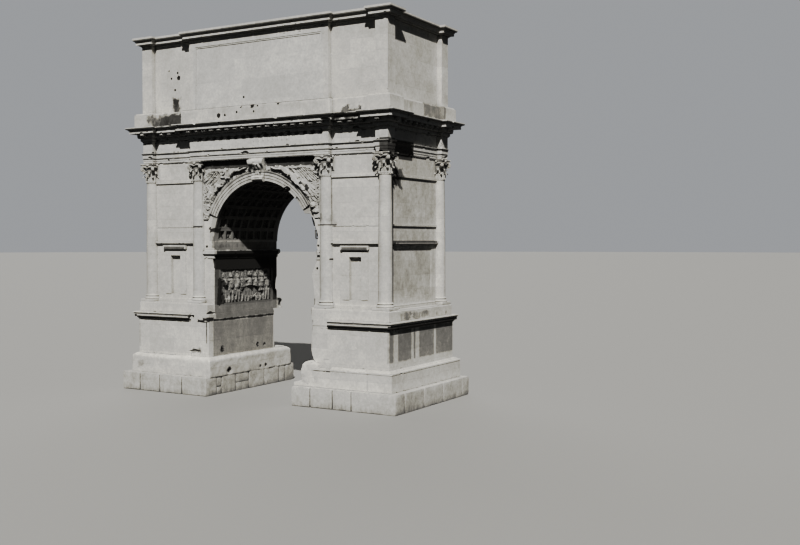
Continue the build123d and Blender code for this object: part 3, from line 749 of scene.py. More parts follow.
def carved(mesh, cutters, slot):
    body = newObject("body", mesh)
    tool = newObject("chips", newMesh("chips", *joined(cutters)))
    cut = body.modifiers.new("cut", "BOOLEAN")
    cut.object = tool
    cut.operation = "DIFFERENCE"
    cut.solver = "EXACT"
    result = applied(body)
    bpy.data.objects.remove(body)
    bpy.data.objects.remove(tool)
    result.materials.clear()
    result.materials.append(finish[slot])
    return result


melt = {"grid": 0.055, "rounds": 7, "factor": 0.6, "coarse": 0.035, "fine": 0.012, "sink": 0.12,
        "below": 0.04}


# corners rounded and faces made uneven by long wear
def melted(piece, limits):
    piece.modifiers.new("grid", "REMESH").voxel_size = melt["grid"]
    smooth = piece.modifiers.new("smooth", "SMOOTH")
    smooth.iterations = melt["rounds"]
    smooth.factor = melt["factor"]
    mesh = applied(piece)
    piece.modifiers.clear()
    low, high = limits
    lowest = (low[0], low[1], low[2] - melt["below"])
    for vertex in mesh.vertices:
        point = vertex.co
        shift = noise.noise_vector(point * 1.4) * melt["coarse"]
        shift += noise.noise_vector(point * 6) * melt["fine"]
        shift.z -= (high[2] - point.z) * melt["sink"]  # the foot, which the smoothing lifts, goes down again
        vertex.co = [min(max(point[i] + shift[i], lowest[i]), high[i]) for i in range(3)]
    smoothed(mesh, 50)
    mesh.materials.clear()
    mesh.materials.append(piece.data.materials[0])
    piece.data = mesh


thinString = {"low": 7.55, "high": 7.85, "stands": 0.3}  # where it runs, and how much of it still stands out


def wornPiece(node, extra=(), prisms=()):
    slot = slotOf(node)
    rng = random.Random(node + str(wear["seed"]))
    mesh = cleanCopy(node)
    if node.startswith("string"):
        for vertex in mesh.vertices:
            out = abs(vertex.co.y) - arch["wall"]
            if out > 0.01 and thinString["low"] < vertex.co.z < thinString["high"]:
                flat = arch["wall"] + 0.005 + out * thinString["stands"]
                vertex.co.y = math.copysign(flat, vertex.co.y)
    edges = convexEdges(mesh)
    total = sum((b - a).length for a, b in edges)
    cutters = [roughStone(centre, radii, rng) for centre, radii in extra] + list(prisms)
    taken = [(Vector(centre), max(radii)) for centre, radii in extra]
    zones = [(points.min(axis=0), points.max(axis=0)) for points, faces in prisms]
    weights = [(b - a).length for a, b in edges]
    for number in range(int(total * wear["perMetre"][slot])):
        a, b = rng.choices(edges, weights)[0]
        centre = a.lerp(b, rng.random())
        size = wear["small"] + (wear["large"][slot] - wear["small"]) * rng.random() ** 3
        along = (b - a).normalized()
        radii = [size * (1 + 1.6 * abs(along[i]) * rng.random()) for i in range(3)]
        reach = 1.5 * max(radii)
        at = np.array(centre)
        if any((at > low - reach).all() and (at < high + reach).all() for low, high in zones):
            continue
        if all((centre - spot).length > reach + 1.5 * size for spot, size in taken):  # chips keep apart
            taken.append((centre, max(radii)))
            cutters.append(roughStone(centre, radii, rng, number))
    if cutters:
        mesh = carved(mesh, cutters, slot)
    mesh.name = node + "_worn"
    piece = newObject(node + "_worn", mesh)
    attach(piece, "root")
    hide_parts(node)
    return piece


# Turned columns

column = {"radius": 0.304, "neck": 0.261, "swell": 0.011, "around": 64, "halfPlinth": 0.409, "inset": 0.41}
columnSpots = {}
for place in ("inner", "outer"):
    for sideName, side in (("left", -1), ("right", 1)):
        low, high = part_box(f"columns_{place}_{sideName}")
        outerFace = low[0] if side < 0 else high[0]
        x, y = outerFace - side * column["inset"], low[1] + column["inset"]
        columnSpots[place, sideName] = (x, y, low[2], high[2])


# stations of a half-round moulding: its middle, how far it stands out and half its height
def torus(r, z, out, half, steps):
    turns = [math.pi * (step / steps - 0.5) for step in range(steps + 1)]
    return [(r + out * math.cos(turn), z + half * math.sin(turn)) for turn in turns]


def columnShaft(height):
    foot, neck = column["radius"], column["neck"]
    profile = [(0.3, 0.116), (foot + 0.05, 0.116)] + torus(foot + 0.052, 0.153, 0.036, 0.036, 8)
    profile += [(foot + 0.05, 0.19), (foot + 0.05, 0.197)]
    for step in range(7):  # scotia
        turn = math.pi * step / 6
        profile.append((foot + 0.04 - 0.016 * math.sin(turn), 0.198 + 0.046 * step / 6))
    profile += torus(foot + 0.026, 0.272, 0.022, 0.024, 6)
    profile += [(foot + 0.02, 0.299), (foot + 0.01, 0.31), (foot, 0.36)]
    bead = height - 0.05
    for step in range(1, 25):
        t = step / 24
        swell = 4 * column["swell"] * t * (1 - t)
        profile.append((foot + (neck - foot) * t + swell, 0.36 + (bead - 0.36) * t))
    profile += torus(neck, bead + 0.024, 0.024, 0.024, 6) + [(0.2, height - 0.002)]
    return lathe(profile, column["around"])


def softBox(x0, x1, y0, y1, z0, z1, rim=0.012):
    points = []
    for z, inset in ((z0, rim), (z0 + rim, 0), (z1 - rim, 0), (z1, rim)):
        a, b, c, d = x0 + inset, x1 - inset, y0 + inset, y1 - inset
        r = rim * 0.6
        points += [(a + r, c, z), (b - r, c, z), (b, c + r, z), (b, d - r, z)]
        points += [(b - r, d, z), (a + r, d, z), (a, d - r, z), (a, c + r, z)]
    faces = gridFaces(4, 8, True)
    faces.append(tuple(range(7, -1, -1)))
    faces.append(tuple(range(24, 32)))
    return np.array(points), faces


def addColumns(place, sideName):
    x, y, z0, z1 = columnSpots[place, sideName]
    half = column["halfPlinth"]
    parts = []
    for face in (-1, 1):
        spot = Matrix.Translation((x, face * abs(y), z0))
        parts.append(placed(columnShaft(z1 - z0), spot))
        parts.append(placed(softBox(-half, half, -half, half, 0.001, 0.116), spot))
    points, faces = joined(parts)
    for i, point in enumerate(points):
        dent = noise.noise(Vector(point) * 3.1) * 0.6 + noise.noise(Vector(point) * 11) * 0.4
        shift = -abs(dent) * wear["columnDent"][place]
        out = Vector(point[:2]) - Vector((x, math.copysign(abs(y), point[1])))
        if out.length > 0.05:
            points[i, :2] += np.array(out.normalized()) * shift
    name = f"columns_{place}_{sideName}"
    piece = addPiece(name + "_turned", points, faces, slotOf(name), 38)
    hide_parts(name)


# Composite capitals

capital = {
    "height": 0.88,
    "abacus": 0.12,
    "half": 0.43,
    "volute": 0.128,
    # height, turn, width, curl and radius of the two rows
    "leaves": [(0.29, 0, 0.215, 0.1, 0.262), (0.52, 22.5, 0.2, 0.115, 0.268)],
    "broken": 0.18,  # share of the leaves that lost their tips
    "eggs": 26,
}


def acanthus(height, width, curl, radius, seed):
    rng = random.Random(seed)
    across, along = 13, 22
    points = []
    lean = 0.02 + rng.uniform(-0.004, 0.004)
    for row in range(along):
        v = row / (along - 1)
        if v < 0.68:
            r = radius + 0.012 + lean * v / 0.68
            z = height * v / 0.68 * 0.8
            tip = 0
        else:
            turn = (v - 0.68) / 0.32 * math.radians(195)
            r = radius + 0.012 + lean + curl * (1 - math.cos(turn)) * 0.5
            z = height * 0.8 + height * 0.17 * math.sin(turn)
            tip = (v - 0.68) / 0.32
        lobe = abs(math.sin(v * math.pi * 4.6))
        half = width / 2 * (0.72 + 0.42 * math.sin(math.pi * min(1, v * 1.15) ** 0.8)) * (1 - 0.55 * tip**1.6)
        half *= 0.78 + 0.26 * lobe
        for vein in range(across):
            u = vein / (across - 1) * 2 - 1
            spread = u * half
            rib = 0.013 * math.exp(-((u / 0.13) ** 2)) - 0.02 * abs(u) ** 1.5
            rib += 0.007 * math.cos(u * 9.5) * (1 - abs(u)) + 0.012 * (lobe - 0.5) * abs(u)
            angle = spread / (r + 0.02)
            reach = r + rib + 0.016
            lift = 0.012 * (lobe - 0.5) * abs(u)
            points.append((reach * math.cos(angle), reach * math.sin(angle), z + lift))
    return np.array(points), gridFaces(along, across)


def thick(part, depth):
    body = newObject("sheet", newMesh("sheet", *part))
    solid = body.modifiers.new("solid", "SOLIDIFY")
    solid.thickness = depth
    solid.offset = -1
    made = applied(body)
    points = np.array([vertex.co[:] for vertex in made.vertices])
    faces = [list(face.vertices) for face in made.polygons]
    bpy.data.objects.remove(body)
    return points, faces


def scroll(radius, width):
    rings, around = 9, 30
    parts = []
    for face in (-1, 1):
        points = []
        for ring in range(rings):
            share = ring / (rings - 1)
            for step in range(around):
                turn = step / around * 2 * math.pi
                swirl = math.cos(2 * math.pi * (share * 2.3 - face * turn / (2 * math.pi)))
                lift = 0.014 * swirl * (share > 0.15) * (share < 0.98) + 0.02 * (share < 0.12)
                r = radius * share
                y = face * (width / 2 + lift - 0.012 * share)
                points.append((r * math.cos(turn), y, r * math.sin(turn)))
        faces = gridFaces(rings, around, True)
        if face > 0:
            faces = [tuple(reversed(corners)) for corners in faces]
        parts.append((np.array(points), faces))
    rim = []
    for y, grow in ((-1, 0), (-0.55, -0.012), (0, 0.004), (0.55, -0.012), (1, 0)):
        for step in range(around):
            turn = step / around * 2 * math.pi
            r = radius + grow
            rim.append((r * math.cos(turn), y * (width / 2 - 0.012), r * math.sin(turn)))
    parts.append((np.array(rim), gridFaces(5, around, True)))
    return joined(parts)


def sweep(path, width, depth):
    points = []
    path = [Vector(point) for point in path]
    for i, point in enumerate(path):
        ahead = (path[min(i + 1, len(path) - 1)] - path[max(i - 1, 0)]).normalized()
        side = ahead.cross(Vector((0, 0, 1)))
        side = side.normalized() if side.length > 0.05 else Vector((0, 1, 0))
        up = side.cross(ahead).normalized()
        for a, b in ((-1, -1), (1, -1), (1, 0.4), (0.35, 1), (-0.35, 1), (-1, 0.4)):
            points.append(point + side * (a * width / 2) + up * (b * depth / 2))
    faces = gridFaces(len(path), 6, True)
    faces.append((5, 4, 3, 2, 1, 0))
    faces.append(tuple((len(path) - 1) * 6 + i for i in range(6)))
    return np.array([point[:] for point in points]), faces


def abacusPart():
    half, hollow = capital["half"], 0.075
    outline = []
    for quarter in range(4):
        turn = quarter * math.pi / 2
        for step in range(13):
            t = step / 12 * 2 - 1
            side = (half - 0.012) - hollow * (1 - t * t)
            along = t * (half - 0.052)
            x = side * math.cos(turn) - along * math.sin(turn)
            outline.append((x, side * math.sin(turn) + along * math.cos(turn)))
    levels = [(0, 0.88), (0.012, 0.9), (0.03, 0.9), (0.05, 0.925)]  # height, share of the full outline
    levels += [(0.072, 0.985), (0.078, 1), (0.118, 1), (0.119, 0.97)]
    points = [(x * grow, y * grow, z) for z, grow in levels for x, y in outline]
    count = len(outline)
    faces = gridFaces(len(levels), count, True)
    faces.append(tuple(range(count - 1, -1, -1)))
    faces.append(tuple((len(levels) - 1) * count + i for i in range(count)))
    return np.array(points), faces


def rosette(radius, depth, petals, rings=6, around=32):
    points = []
    for ring in range(rings):
        share = ring / (rings - 1)
        for step in range(around):
            turn = step / around * 2 * math.pi
            petal = abs(math.cos(petals * turn / 2))
            r = radius * share * (0.8 + 0.2 * petal if share > 0.6 else 1)
            lift = depth * (0.75 - 1.2 * share)
            if share > 0.3:
                lift = depth * (1 - share**3) * (0.55 + 0.45 * petal)
            elif share == 0:
                lift = depth * 0.95
            points.append((r * math.cos(turn), r * math.sin(turn), lift if share < 1 else -0.004))
    return np.array(points), gridFaces(rings, around, True)


def capitalParts(seed, keep):
    rng = random.Random(seed)
    bellTop = capital["height"] - capital["abacus"]
    bell = [(0.2, 0), (0.25, 0.002), (0.252, 0.3), (0.262, 0.48), (0.29, 0.56), (0.3, 0.6), (0.27, 0.615)]
    bell += [(0.28, 0.63), (0.3, 0.65), (0.305, 0.68), (0.3, 0.7), (0.27, 0.71), (0.33, bellTop)]
    parts = [lathe(bell, 48)]
    for number in range(8):
        for row, (height, shift, width, curl, radius) in enumerate(capital["leaves"]):
            angle = 45 * number + shift
            if not keep(angle):
                continue
            leaf = acanthus(height, width, curl * rng.uniform(0.8, 1.1), radius, seed * 50 + number * 2 + row)
            if rng.random() < capital["broken"]:
                limit = height * rng.uniform(0.72, 0.9)
                leaf[0][:, 2] = np.minimum(leaf[0][:, 2], limit)
            parts.append(placed(thick(leaf, 0.018), turned(angle)))
    egg = [(0.001, -0.034), (0.016, -0.028), (0.026, -0.008), (0.027, 0.012), (0.02, 0.03), (0.001, 0.036)]
    egg = lathe(egg, 8)
    for number in range(capital["eggs"]):  # a row of eggs under the scrolls
        angle = 360 / capital["eggs"] * number
        if keep(angle):
            parts.append(placed(egg, turned(angle) @ Matrix.Translation((0.3, 0, 0.675))))
    reach = 1.32 * capital["half"] - capital["volute"] - 0.01
    for quarter in range(4):
        angle = 45 + 90 * quarter
        if not keep(angle):
            continue
        spot = turned(angle) @ Matrix.Translation((reach, 0, bellTop - capital["volute"] - 0.002))
        parts.append(placed(scroll(capital["volute"], 0.12), spot))
        for side in (-1, 1):
            path = []
            for step in range(9):
                t = step / 8
                turn = math.radians(side * 44 * (1 - t))
                r = 0.33 + (reach - 0.33 + 0.02) * t**1.4
                z = bellTop - 0.075 + 0.055 * math.sin(t * math.pi * 0.8)
                path.append((r * math.cos(turn), r * math.sin(turn), z))
            parts.append(placed(sweep(path, 0.06, 0.05), turned(angle)))
        horn = acanthus(0.2, 0.13, 0.05, 0.02, seed + quarter)
        parts.append(placed(thick(horn, 0.014), turned(angle) @ Matrix.Translation((0.29, 0, 0.44))))
    parts.append(placed(abacusPart(), Matrix.Translation((0, 0, bellTop))))
    for quarter in range(4):
        angle = 90 * quarter
        if keep(angle):
            flower = rosette(0.085, 0.06, 6)
            spot = turned(angle) @ Matrix.Translation((capital["half"] - 0.085, 0, bellTop + 0.05))
            parts.append(placed(flower, spot @ Matrix.Rotation(math.radians(90), 4, "Y")))
    return parts


def addCapitals(place, sideName):
    x, y, z0, z1 = columnSpots[place, sideName]
    side = -1 if sideName == "left" else 1
    parts = []
    for face in (-1, 1):

        def keep(angle):
            ax, ay = math.cos(math.radians(angle)), math.sin(math.radians(angle))
            if place == "inner":
                return ay * face > -0.2
            return ay * face > -0.2 or ax * side > -0.2

        seed = int(face + 2 + side * 5 + (place == "inner") * 11 + 20)
        spot = Matrix.Translation((x, face * abs(y), z1))
        parts += [placed(part, spot) for part in capitalParts(seed, keep)]
    points, faces = joined(parts)
    rough = wear["capitalDent"][place]
    for i, point in enumerate(points):
        points[i] += np.array(noise.noise_vector(Vector(point) * 7)) * rough
    name = f"capitals_{place}_{sideName}"
    low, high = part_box(name)
    points[:, 2] = np.clip(points[:, 2], low[2] + 0.001, high[2] - 0.001)
    # painted shade: the parts close to the bell, deep between the leaves, are darkened
    depth = np.clip((0.3 - np.hypot(points[:, 0] - x, np.abs(points[:, 1]) - abs(y))) / 0.04, 0, 1)
    piece = addPiece(name + "_carved", points, faces, slotOf(name), 50, depth * 0.55)
    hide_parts(name)


for place, sideName in columnSpots:
    addColumns(place, sideName)
    addCapitals(place, sideName)
print("columns and capitals made")


# Carving in relief

# the sum of the four neighbours of each height
def neighbours(heights):
    padded = np.pad(heights, 1, mode="edge")
    return padded[:-2, 1:-1] + padded[2:, 1:-1] + padded[1:-1, :-2] + padded[1:-1, 2:]


# a sheet of heights over a ground, raised by rounded forms
class Relief:
    def __init__(self, u0, u1, v0, v1, step):
        across, up = np.arange(u0, u1 + step / 2, step), np.arange(v0, v1 + step / 2, step)
        self.u, self.v = np.meshgrid(across, up)
        self.h = np.zeros_like(self.u)
        self.step = step

    # a limb through stations of (u, v, radius, lift)
    def limb(self, stations, fold=0, pitch=0.03):
        for (u0, v0, r0, l0), (u1, v1, r1, l1) in zip(stations, stations[1:]):
            du, dv = u1 - u0, v1 - v0
            length = math.hypot(du, dv) + 1e-6
            t = np.clip(((self.u - u0) * du + (self.v - v0) * dv) / length**2, 0, 1)
            radius = r0 + (r1 - r0) * t
            off = np.hypot(self.u - u0 - du * t, self.v - v0 - dv * t)
            height = l0 + (l1 - l0) * t + np.sqrt(np.maximum(radius**2 - off**2, 0))
            if fold:
                across = ((self.u - u0) * dv - (self.v - v0) * du) / length
                height += fold * np.cos(across / pitch * 2 * math.pi)
            self.h = np.where(off < radius, np.maximum(self.h, height), self.h)

    def ball(self, u, v, radius, lift):
        self.limb([(u, v, radius, lift), (u + 0.001, v, radius, lift)])

    def disc(self, u, v, ru, rv, lift, dome, rim=0.0):
        off = np.hypot((self.u - u) / ru, (self.v - v) / rv)
        height = lift + dome * np.sqrt(np.maximum(1 - off**2, 0)) + rim * (off > 0.84)
        self.h = np.where(off < 1, np.maximum(self.h, height), self.h)

    def ring(self, u, v, radius, thickness, lift):
        turns = [math.pi * 2 * i / 14 for i in range(15)]
        self.limb([(u + radius * math.cos(t), v + radius * math.sin(t), thickness, lift) for t in turns])

    def feather(self, u, v, angle, length, width, lift):
        du, dv = math.cos(angle), math.sin(angle)
        along = (self.u - u) * du + (self.v - v) * dv
        across = np.abs((self.u - u) * dv - (self.v - v) * du)
        half = width * np.sqrt(np.clip(1 - (np.maximum(along / length, 0)) ** 4, 0, 1))
        inside = (along > 0) & (along < length) & (across < half)
        height = lift + width * 0.8 * (1 - across / width) + 0.004 * np.cos((along - across) * 260)
        self.h = np.where(inside, np.maximum(self.h, height), self.h)

    # wear: soft noise, pits and chipped-off patches
    def weather(self, seed, rough, lost):
        rng = np.random.default_rng(seed)
        coarse, fine, patch = (self.field(rng, size) for size in (0.09, 0.03, 0.34))
        self.h = np.where(self.h > 0, self.h * (0.92 + 0.16 * coarse) + rough * (fine - 0.5), 0)
        self.h -= lost * np.clip((patch - 0.62) / 0.1, 0, 1) * self.h
        self.h = np.maximum(self.h, 0)

    # smooth noise from 0 to 1 with lumps of one size
    def field(self, rng, size):
        rows, columns = self.h.shape
        cells = max(2, int(size / self.step))
        grid = rng.random((rows // cells + 3, columns // cells + 3))
        y, x = np.arange(rows) / cells, np.arange(columns) / cells
        iy, ix = y.astype(int), x.astype(int)
        fy, fx = y - iy, x - ix
        fy, fx = (fy * fy * (3 - 2 * fy))[:, None], (fx * fx * (3 - 2 * fx))[None, :]
        a, b = grid[np.ix_(iy, ix)], grid[np.ix_(iy, ix + 1)]
        c, d = grid[np.ix_(iy + 1, ix)], grid[np.ix_(iy + 1, ix + 1)]
        return (a * (1 - fx) + b * fx) * (1 - fy) + (c * (1 - fx) + d * fx) * fy

    def soften(self):
        self.h = self.h * 0.5 + neighbours(self.h) * 0.125

    # points and faces of what stands out of the ground; place turns (u, v, h) into x, y, z
    def mesh(self, place, mirrored=False):
        low = self.h < 0.004
        wide = self.h.copy()
        for _ in range(5):
            wide = neighbours(wide) / 4
        # painted shade: how far a point lies below its neighbours, later darkened in the stone
        hollow = np.clip((wide - self.h) / 0.03, 0, 1)
        height = np.where(low, -0.006, self.h)
        cell = ~(low[:-1, :-1] & low[1:, :-1] & low[:-1, 1:] & low[1:, 1:])
        rows, columns = self.h.shape
        index = np.arange(rows * columns).reshape(rows, columns)
        quads = np.stack([index[:-1, :-1], index[:-1, 1:], index[1:, 1:], index[1:, :-1]], -1)[cell]
        used, faces = np.unique(quads, return_inverse=True)
        points = place(self.u.ravel()[used], self.v.ravel()[used], height.ravel()[used])
        faces = faces.reshape(-1, 4)
        return points, faces[:, ::-1] if mirrored else faces, hollow.ravel()[used]


spandrel = {
    "side": 3.235,
    "ground": 2.42,
    "step": 0.0125,
    "holes": {  # painted shade where the carving is deepest
        "left": [(1.27, 9.89, 0.1), (1.49, 9.87, 0.05), (1.72, 9.73, 0.05), (2.1, 9.62, 0.07),
                 (2.25, 9.45, 0.07), (3.03, 8.82, 0.05)],
        "right": [(1.77, 9.87, 0.09), (2.35, 9.56, 0.09), (2.68, 9.31, 0.12), (2.66, 9.42, 0.09),
                  (3.16, 9.32, 0.05), (3.18, 8.91, 0.05), (3.2, 8.62, 0.05), (2.86, 8.42, 0.11)],
    },
}


def onRing(angle, reach):
    turn = math.radians(angle)
    return reach * math.sin(turn), arch["spring"] + reach * math.cos(turn)


# a winged figure that flies along the ring towards the keystone, with a wreath, its feet on a globe
def wingedFigure(relief, rng):
    def at(angle, reach, radius, lift):
        return (*onRing(angle, reach), radius, lift)
    for number in range(15):  # long feathers, then the coverts over them
        t = number / 14
        u, v = 1.62 + 1.25 * t, 10.12 + 0.14 * math.sin(t * 2.6)
        angle = math.radians(-62 + 38 * t + rng.uniform(-3, 3))
        relief.feather(u, v, angle, 0.5 + 0.42 * math.sin(t * 2.4), 0.052, 0.012 + 0.004 * (number % 2))
    for number in range(12):
        t = number / 11
        u, v = 1.6 + 1.15 * t, 10.15 + 0.12 * math.sin(t * 2.6)
        relief.feather(u, v, math.radians(-66 + 40 * t), 0.3, 0.05, 0.035 + 0.004 * (number % 2))
    edge = [(1.5, 10.08, 0.09, 0.03), (1.95, 10.22, 0.075, 0.035), (2.45, 10.25, 0.06, 0.03)]
    relief.limb(edge + [(2.85, 10.2, 0.04, 0.02)])  # front edge of the wing
    for number in range(7):
        u = 1.28 - 0.06 * number
        relief.feather(u, 10.2, math.radians(100 + 9 * number), 0.18 - 0.01 * number, 0.045, 0.012)
    for number in range(11):  # skirt that streams past the feet
        t = number / 10
        low = at(57 + 4 * math.sin(number * 1.7), 3.24 + 0.52 * t, 0.035, 0.012)
        middle = at(47, 3.29 + 0.36 * t, 0.055, 0.04 + 0.02 * math.sin(number * 2.3))
        relief.limb([at(35, 3.34 + 0.2 * t, 0.06, 0.05), middle, low], fold=0.006, pitch=0.028)
    relief.limb([at(36, 3.52, 0.12, 0.05), at(46, 3.56, 0.095, 0.05), at(56, 3.52, 0.06, 0.03)], 0.006, 0.04)
    relief.limb([at(36, 3.38, 0.14, 0.07), at(45, 3.35, 0.105, 0.08), at(55, 3.36, 0.06, 0.05)], 0.006, 0.04)
    relief.limb([at(55, 3.36, 0.05, 0.05), at(58.5, 3.3, 0.035, 0.04)])
    trunk = [at(23, 3.48, 0.12, 0.06), at(27, 3.45, 0.145, 0.07), at(31, 3.42, 0.115, 0.06)]
    relief.limb(trunk + [at(36, 3.43, 0.15, 0.06)], 0.008, 0.045)
    relief.limb([at(30.5, 3.3, 0.03, 0.13), at(31, 3.54, 0.03, 0.13)])
    relief.limb([at(22.5, 3.47, 0.055, 0.07), at(19.5, 3.48, 0.05, 0.08)])
    u, v = onRing(17.3, 3.49)
    relief.ball(u, v, 0.092, 0.09)
    relief.ball(u + 0.03, v + 0.05, 0.07, 0.1)
    arm = [at(23, 3.44, 0.06, 0.12), at(17, 3.33, 0.05, 0.12), at(12.5, 3.36, 0.04, 0.1)]
    relief.limb(arm + [at(10.5, 3.42, 0.04, 0.1)])
    relief.limb([at(25, 3.56, 0.06, 0.08), at(30, 3.68, 0.05, 0.07), at(34, 3.62, 0.04, 0.08)])
    relief.ring(*onRing(9.9, 3.52), 0.1, 0.032, 0.06)
    relief.ball(*onRing(62.2, 3.34), 0.15, 0.03)


def addSpandrels(face, end):
    for side, sideName in ((-1, "left"), (1, "right")):
        seed = 40 + face * 3 + side
        relief = Relief(0.3, 3.25, 8.05, 10.7, spandrel["step"])
        wingedFigure(relief, random.Random(seed))
        for number in range(9):  # ribbons low in the corner
            u = 2.72 + 0.05 * number
            ribbon = [(u, 8.1 + 0.03 * (number % 3), 0.03, 0), (u + 0.05, 8.36, 0.035, 0.02)]
            relief.limb(ribbon + [(min(3.2, u), 8.6, 0.02, 0)], 0.004)
        lumps = relief.field(np.random.default_rng(seed + 1), 0.15)
        folds = relief.field(np.random.default_rng(seed + 2), 0.055)
        ground = 0.008 + 0.07 * lumps * folds  # never plain
        relief.h = np.where(relief.h > 0, relief.h + 0.05 * lumps, ground)
        inside = np.hypot(relief.u, relief.v - arch["spring"]) > arch["ring"] + 0.012
        inside &= relief.u < spandrel["side"] - 0.11 * np.clip((relief.v - 9.85) / 0.3, 0, 1)
        inside &= relief.u > 0.3 + (relief.v - 9.68) * 0.146 + 0.02
        if face < 0 < side:
            inside &= relief.v > 8.28  # the corner below is lost
        relief.soften()
        relief.weather(seed, 0.03, 0.5 if face < 0 else 0.3)
        relief.h *= np.clip((10.42 + 0.05 * np.sin(relief.u * 9) - relief.v) / 0.12, 0, 1)
        relief.h = np.where(inside, np.minimum(relief.h, 0.2), 0)

        def place(u, v, h):
            return np.stack([side * u, face * (spandrel["ground"] + h), v], -1)

        points, faces, hollow = relief.mesh(place, side * face > 0)
        # painted shade in the deepest holes of the carving
        for u, v, size in spandrel["holes"][sideName]:
            away = np.hypot(np.abs(points[:, 0]) - u, points[:, 2] - v)
            hollow = np.maximum(hollow, np.clip((size - away) / 0.03, 0, 1) * 1.4)
        name = f"spandrel_figure_{end}_{sideName}"
        addPiece(name, points, faces, "marble", 60, np.minimum(hollow * 0.7, 1))


panelCarving = {"u": 1.895, "low": 4.145, "high": 5.715, "ground": 2.77, "step": 0.0125, "pitch": 0.47}


# one stand of armour: post, greaves, skirt of strips, breastplate, helmet, shield and spears
def armourStand(relief, u, rng, low):
    tall = rng.uniform(0.94, 1.04)
    top = low + 1.36 * tall
    lean = rng.uniform(-0.05, 0.05)
    for tip in (-0.3, 0.26):
        base = (u - tip * 0.9, low + 0.1, 0.018, 0.02)
        relief.limb([base, (u + tip, min(top + 0.12, panelCarving["high"] - 0.04), 0.015, 0.02)])
    for side in (-1, 1):
        knee = u + side * 0.1 + lean
        ankle, hip = (knee + side * 0.03, low + 0.03), (knee - side * 0.02, low + 0.52)
        relief.limb([(*ankle, 0.05, 0.03), (knee, low + 0.3, 0.062, 0.05), (*hip, 0.075, 0.05)])
        toe = (knee + side * 0.1, low + 0.02, 0.025, 0.03)
        relief.limb([(knee + side * 0.02, low + 0.035, 0.035, 0.05), toe])
    for strip in range(9):
        offset = (strip - 4) * 0.046
        start = (u + offset * 0.7, low + 0.76, 0.026, 0.07)
        relief.limb([start, (u + offset * 1.15 + lean, low + 0.47 + 0.02 * (strip % 2), 0.027, 0.06)])
    relief.limb([(u, low + 0.76, 0.13, 0.03), (u, low + 0.95, 0.155, 0.035), (u, low + 1.02, 0.14, 0.03)])
    relief.limb([(u - 0.15, low + 1.05, 0.065, 0.05), (u + 0.15, low + 1.05, 0.065, 0.05)])
    relief.disc(u - 0.055, low + 0.93, 0.06, 0.055, 0.15, 0.035)
    relief.disc(u + 0.055, low + 0.93, 0.06, 0.055, 0.15, 0.035)
    relief.ball(u + lean * 0.3, top - 0.12, 0.1, 0.05)
    relief.limb([(u - 0.1, top - 0.15, 0.02, 0.1), (u + 0.1, top - 0.15, 0.02, 0.1)])
    crest = [(u - 0.1, top - 0.1, 0.025, 0.09), (u - 0.03, top + 0.01, 0.035, 0.1)]
    relief.limb(crest + [(u + 0.1, top - 0.04, 0.028, 0.09)], 0.005, 0.018)
    if rng.random() < 0.75:
        shieldU, shieldV = u + rng.choice((-0.26, 0.26)), low + rng.uniform(0.55, 0.85)
        relief.disc(shieldU, shieldV, 0.17, rng.choice((0.17, 0.25)), 0.05, 0.05, 0.014)
        relief.ball(shieldU, shieldV, 0.045, 0.09)
        for spoke in range(8):
            turn = spoke * math.pi / 4
            end = (shieldU + 0.12 * math.cos(turn), shieldV + 0.12 * math.sin(turn), 0.008, 0.095)
            relief.limb([(shieldU, shieldV, 0.012, 0.105), end])


def addPassageCarving(side, sideName):
    rng = random.Random(90 + side)
    half, low, high = panelCarving["u"], panelCarving["low"], panelCarving["high"]
    relief = Relief(-half, half, low, high, panelCarving["step"])
    for number in range(26):  # spears and standards behind
        u = -half + 2 * half * (number + rng.random()) / 26
        tip = u + rng.uniform(-0.3, 0.3)
        relief.limb([(u, low + 0.2, 0.014, 0.01), (tip, high - 0.05, 0.012, 0.01)])
        relief.feather(tip, high - 0.16, math.pi / 2, 0.13, 0.028, 0.015)
    count = int(2 * half / panelCarving["pitch"])
    for number in range(count):
        armourStand(relief, -half + 0.3 + (2 * half - 0.6) * number / (count - 1), rng, low)
    for number in range(count - 1):  # garlands hung between the stands
        start = -half + 0.3 + (2 * half - 0.6) * number / (count - 1)
        for step in range(22):
            t = step / 21
            u = start + t * panelCarving["pitch"]
            v = low + 1.12 - 0.42 * (1 - (2 * t - 1) ** 2) + 0.012 * math.sin(step * 2.4)
            relief.ball(u, v, 0.03 + 0.024 * math.sin(math.pi * t), 0.05 + 0.01 * (step % 2))
    relief.soften()
    relief.weather(120 + side, 0.014, 0.75)
    relief.h = np.minimum(relief.h, 0.2)
    edge = 0.85 + 0.35 * relief.field(np.random.default_rng(3), 0.08)
    gap = np.hypot((relief.u - 0.27) / 0.6, (relief.v - 4.66) / 0.24) < edge
    relief.h = np.where(gap & (side < 0), relief.h * 0.12, relief.h)

    def place(u, v, h):
        return np.stack([side * (panelCarving["ground"] - h), u, v], -1)

    points, faces, hollow = relief.mesh(place, side > 0)
    addPiece(f"passage_carving_{sideName}", points, faces, "marble", 60, hollow * 0.75)


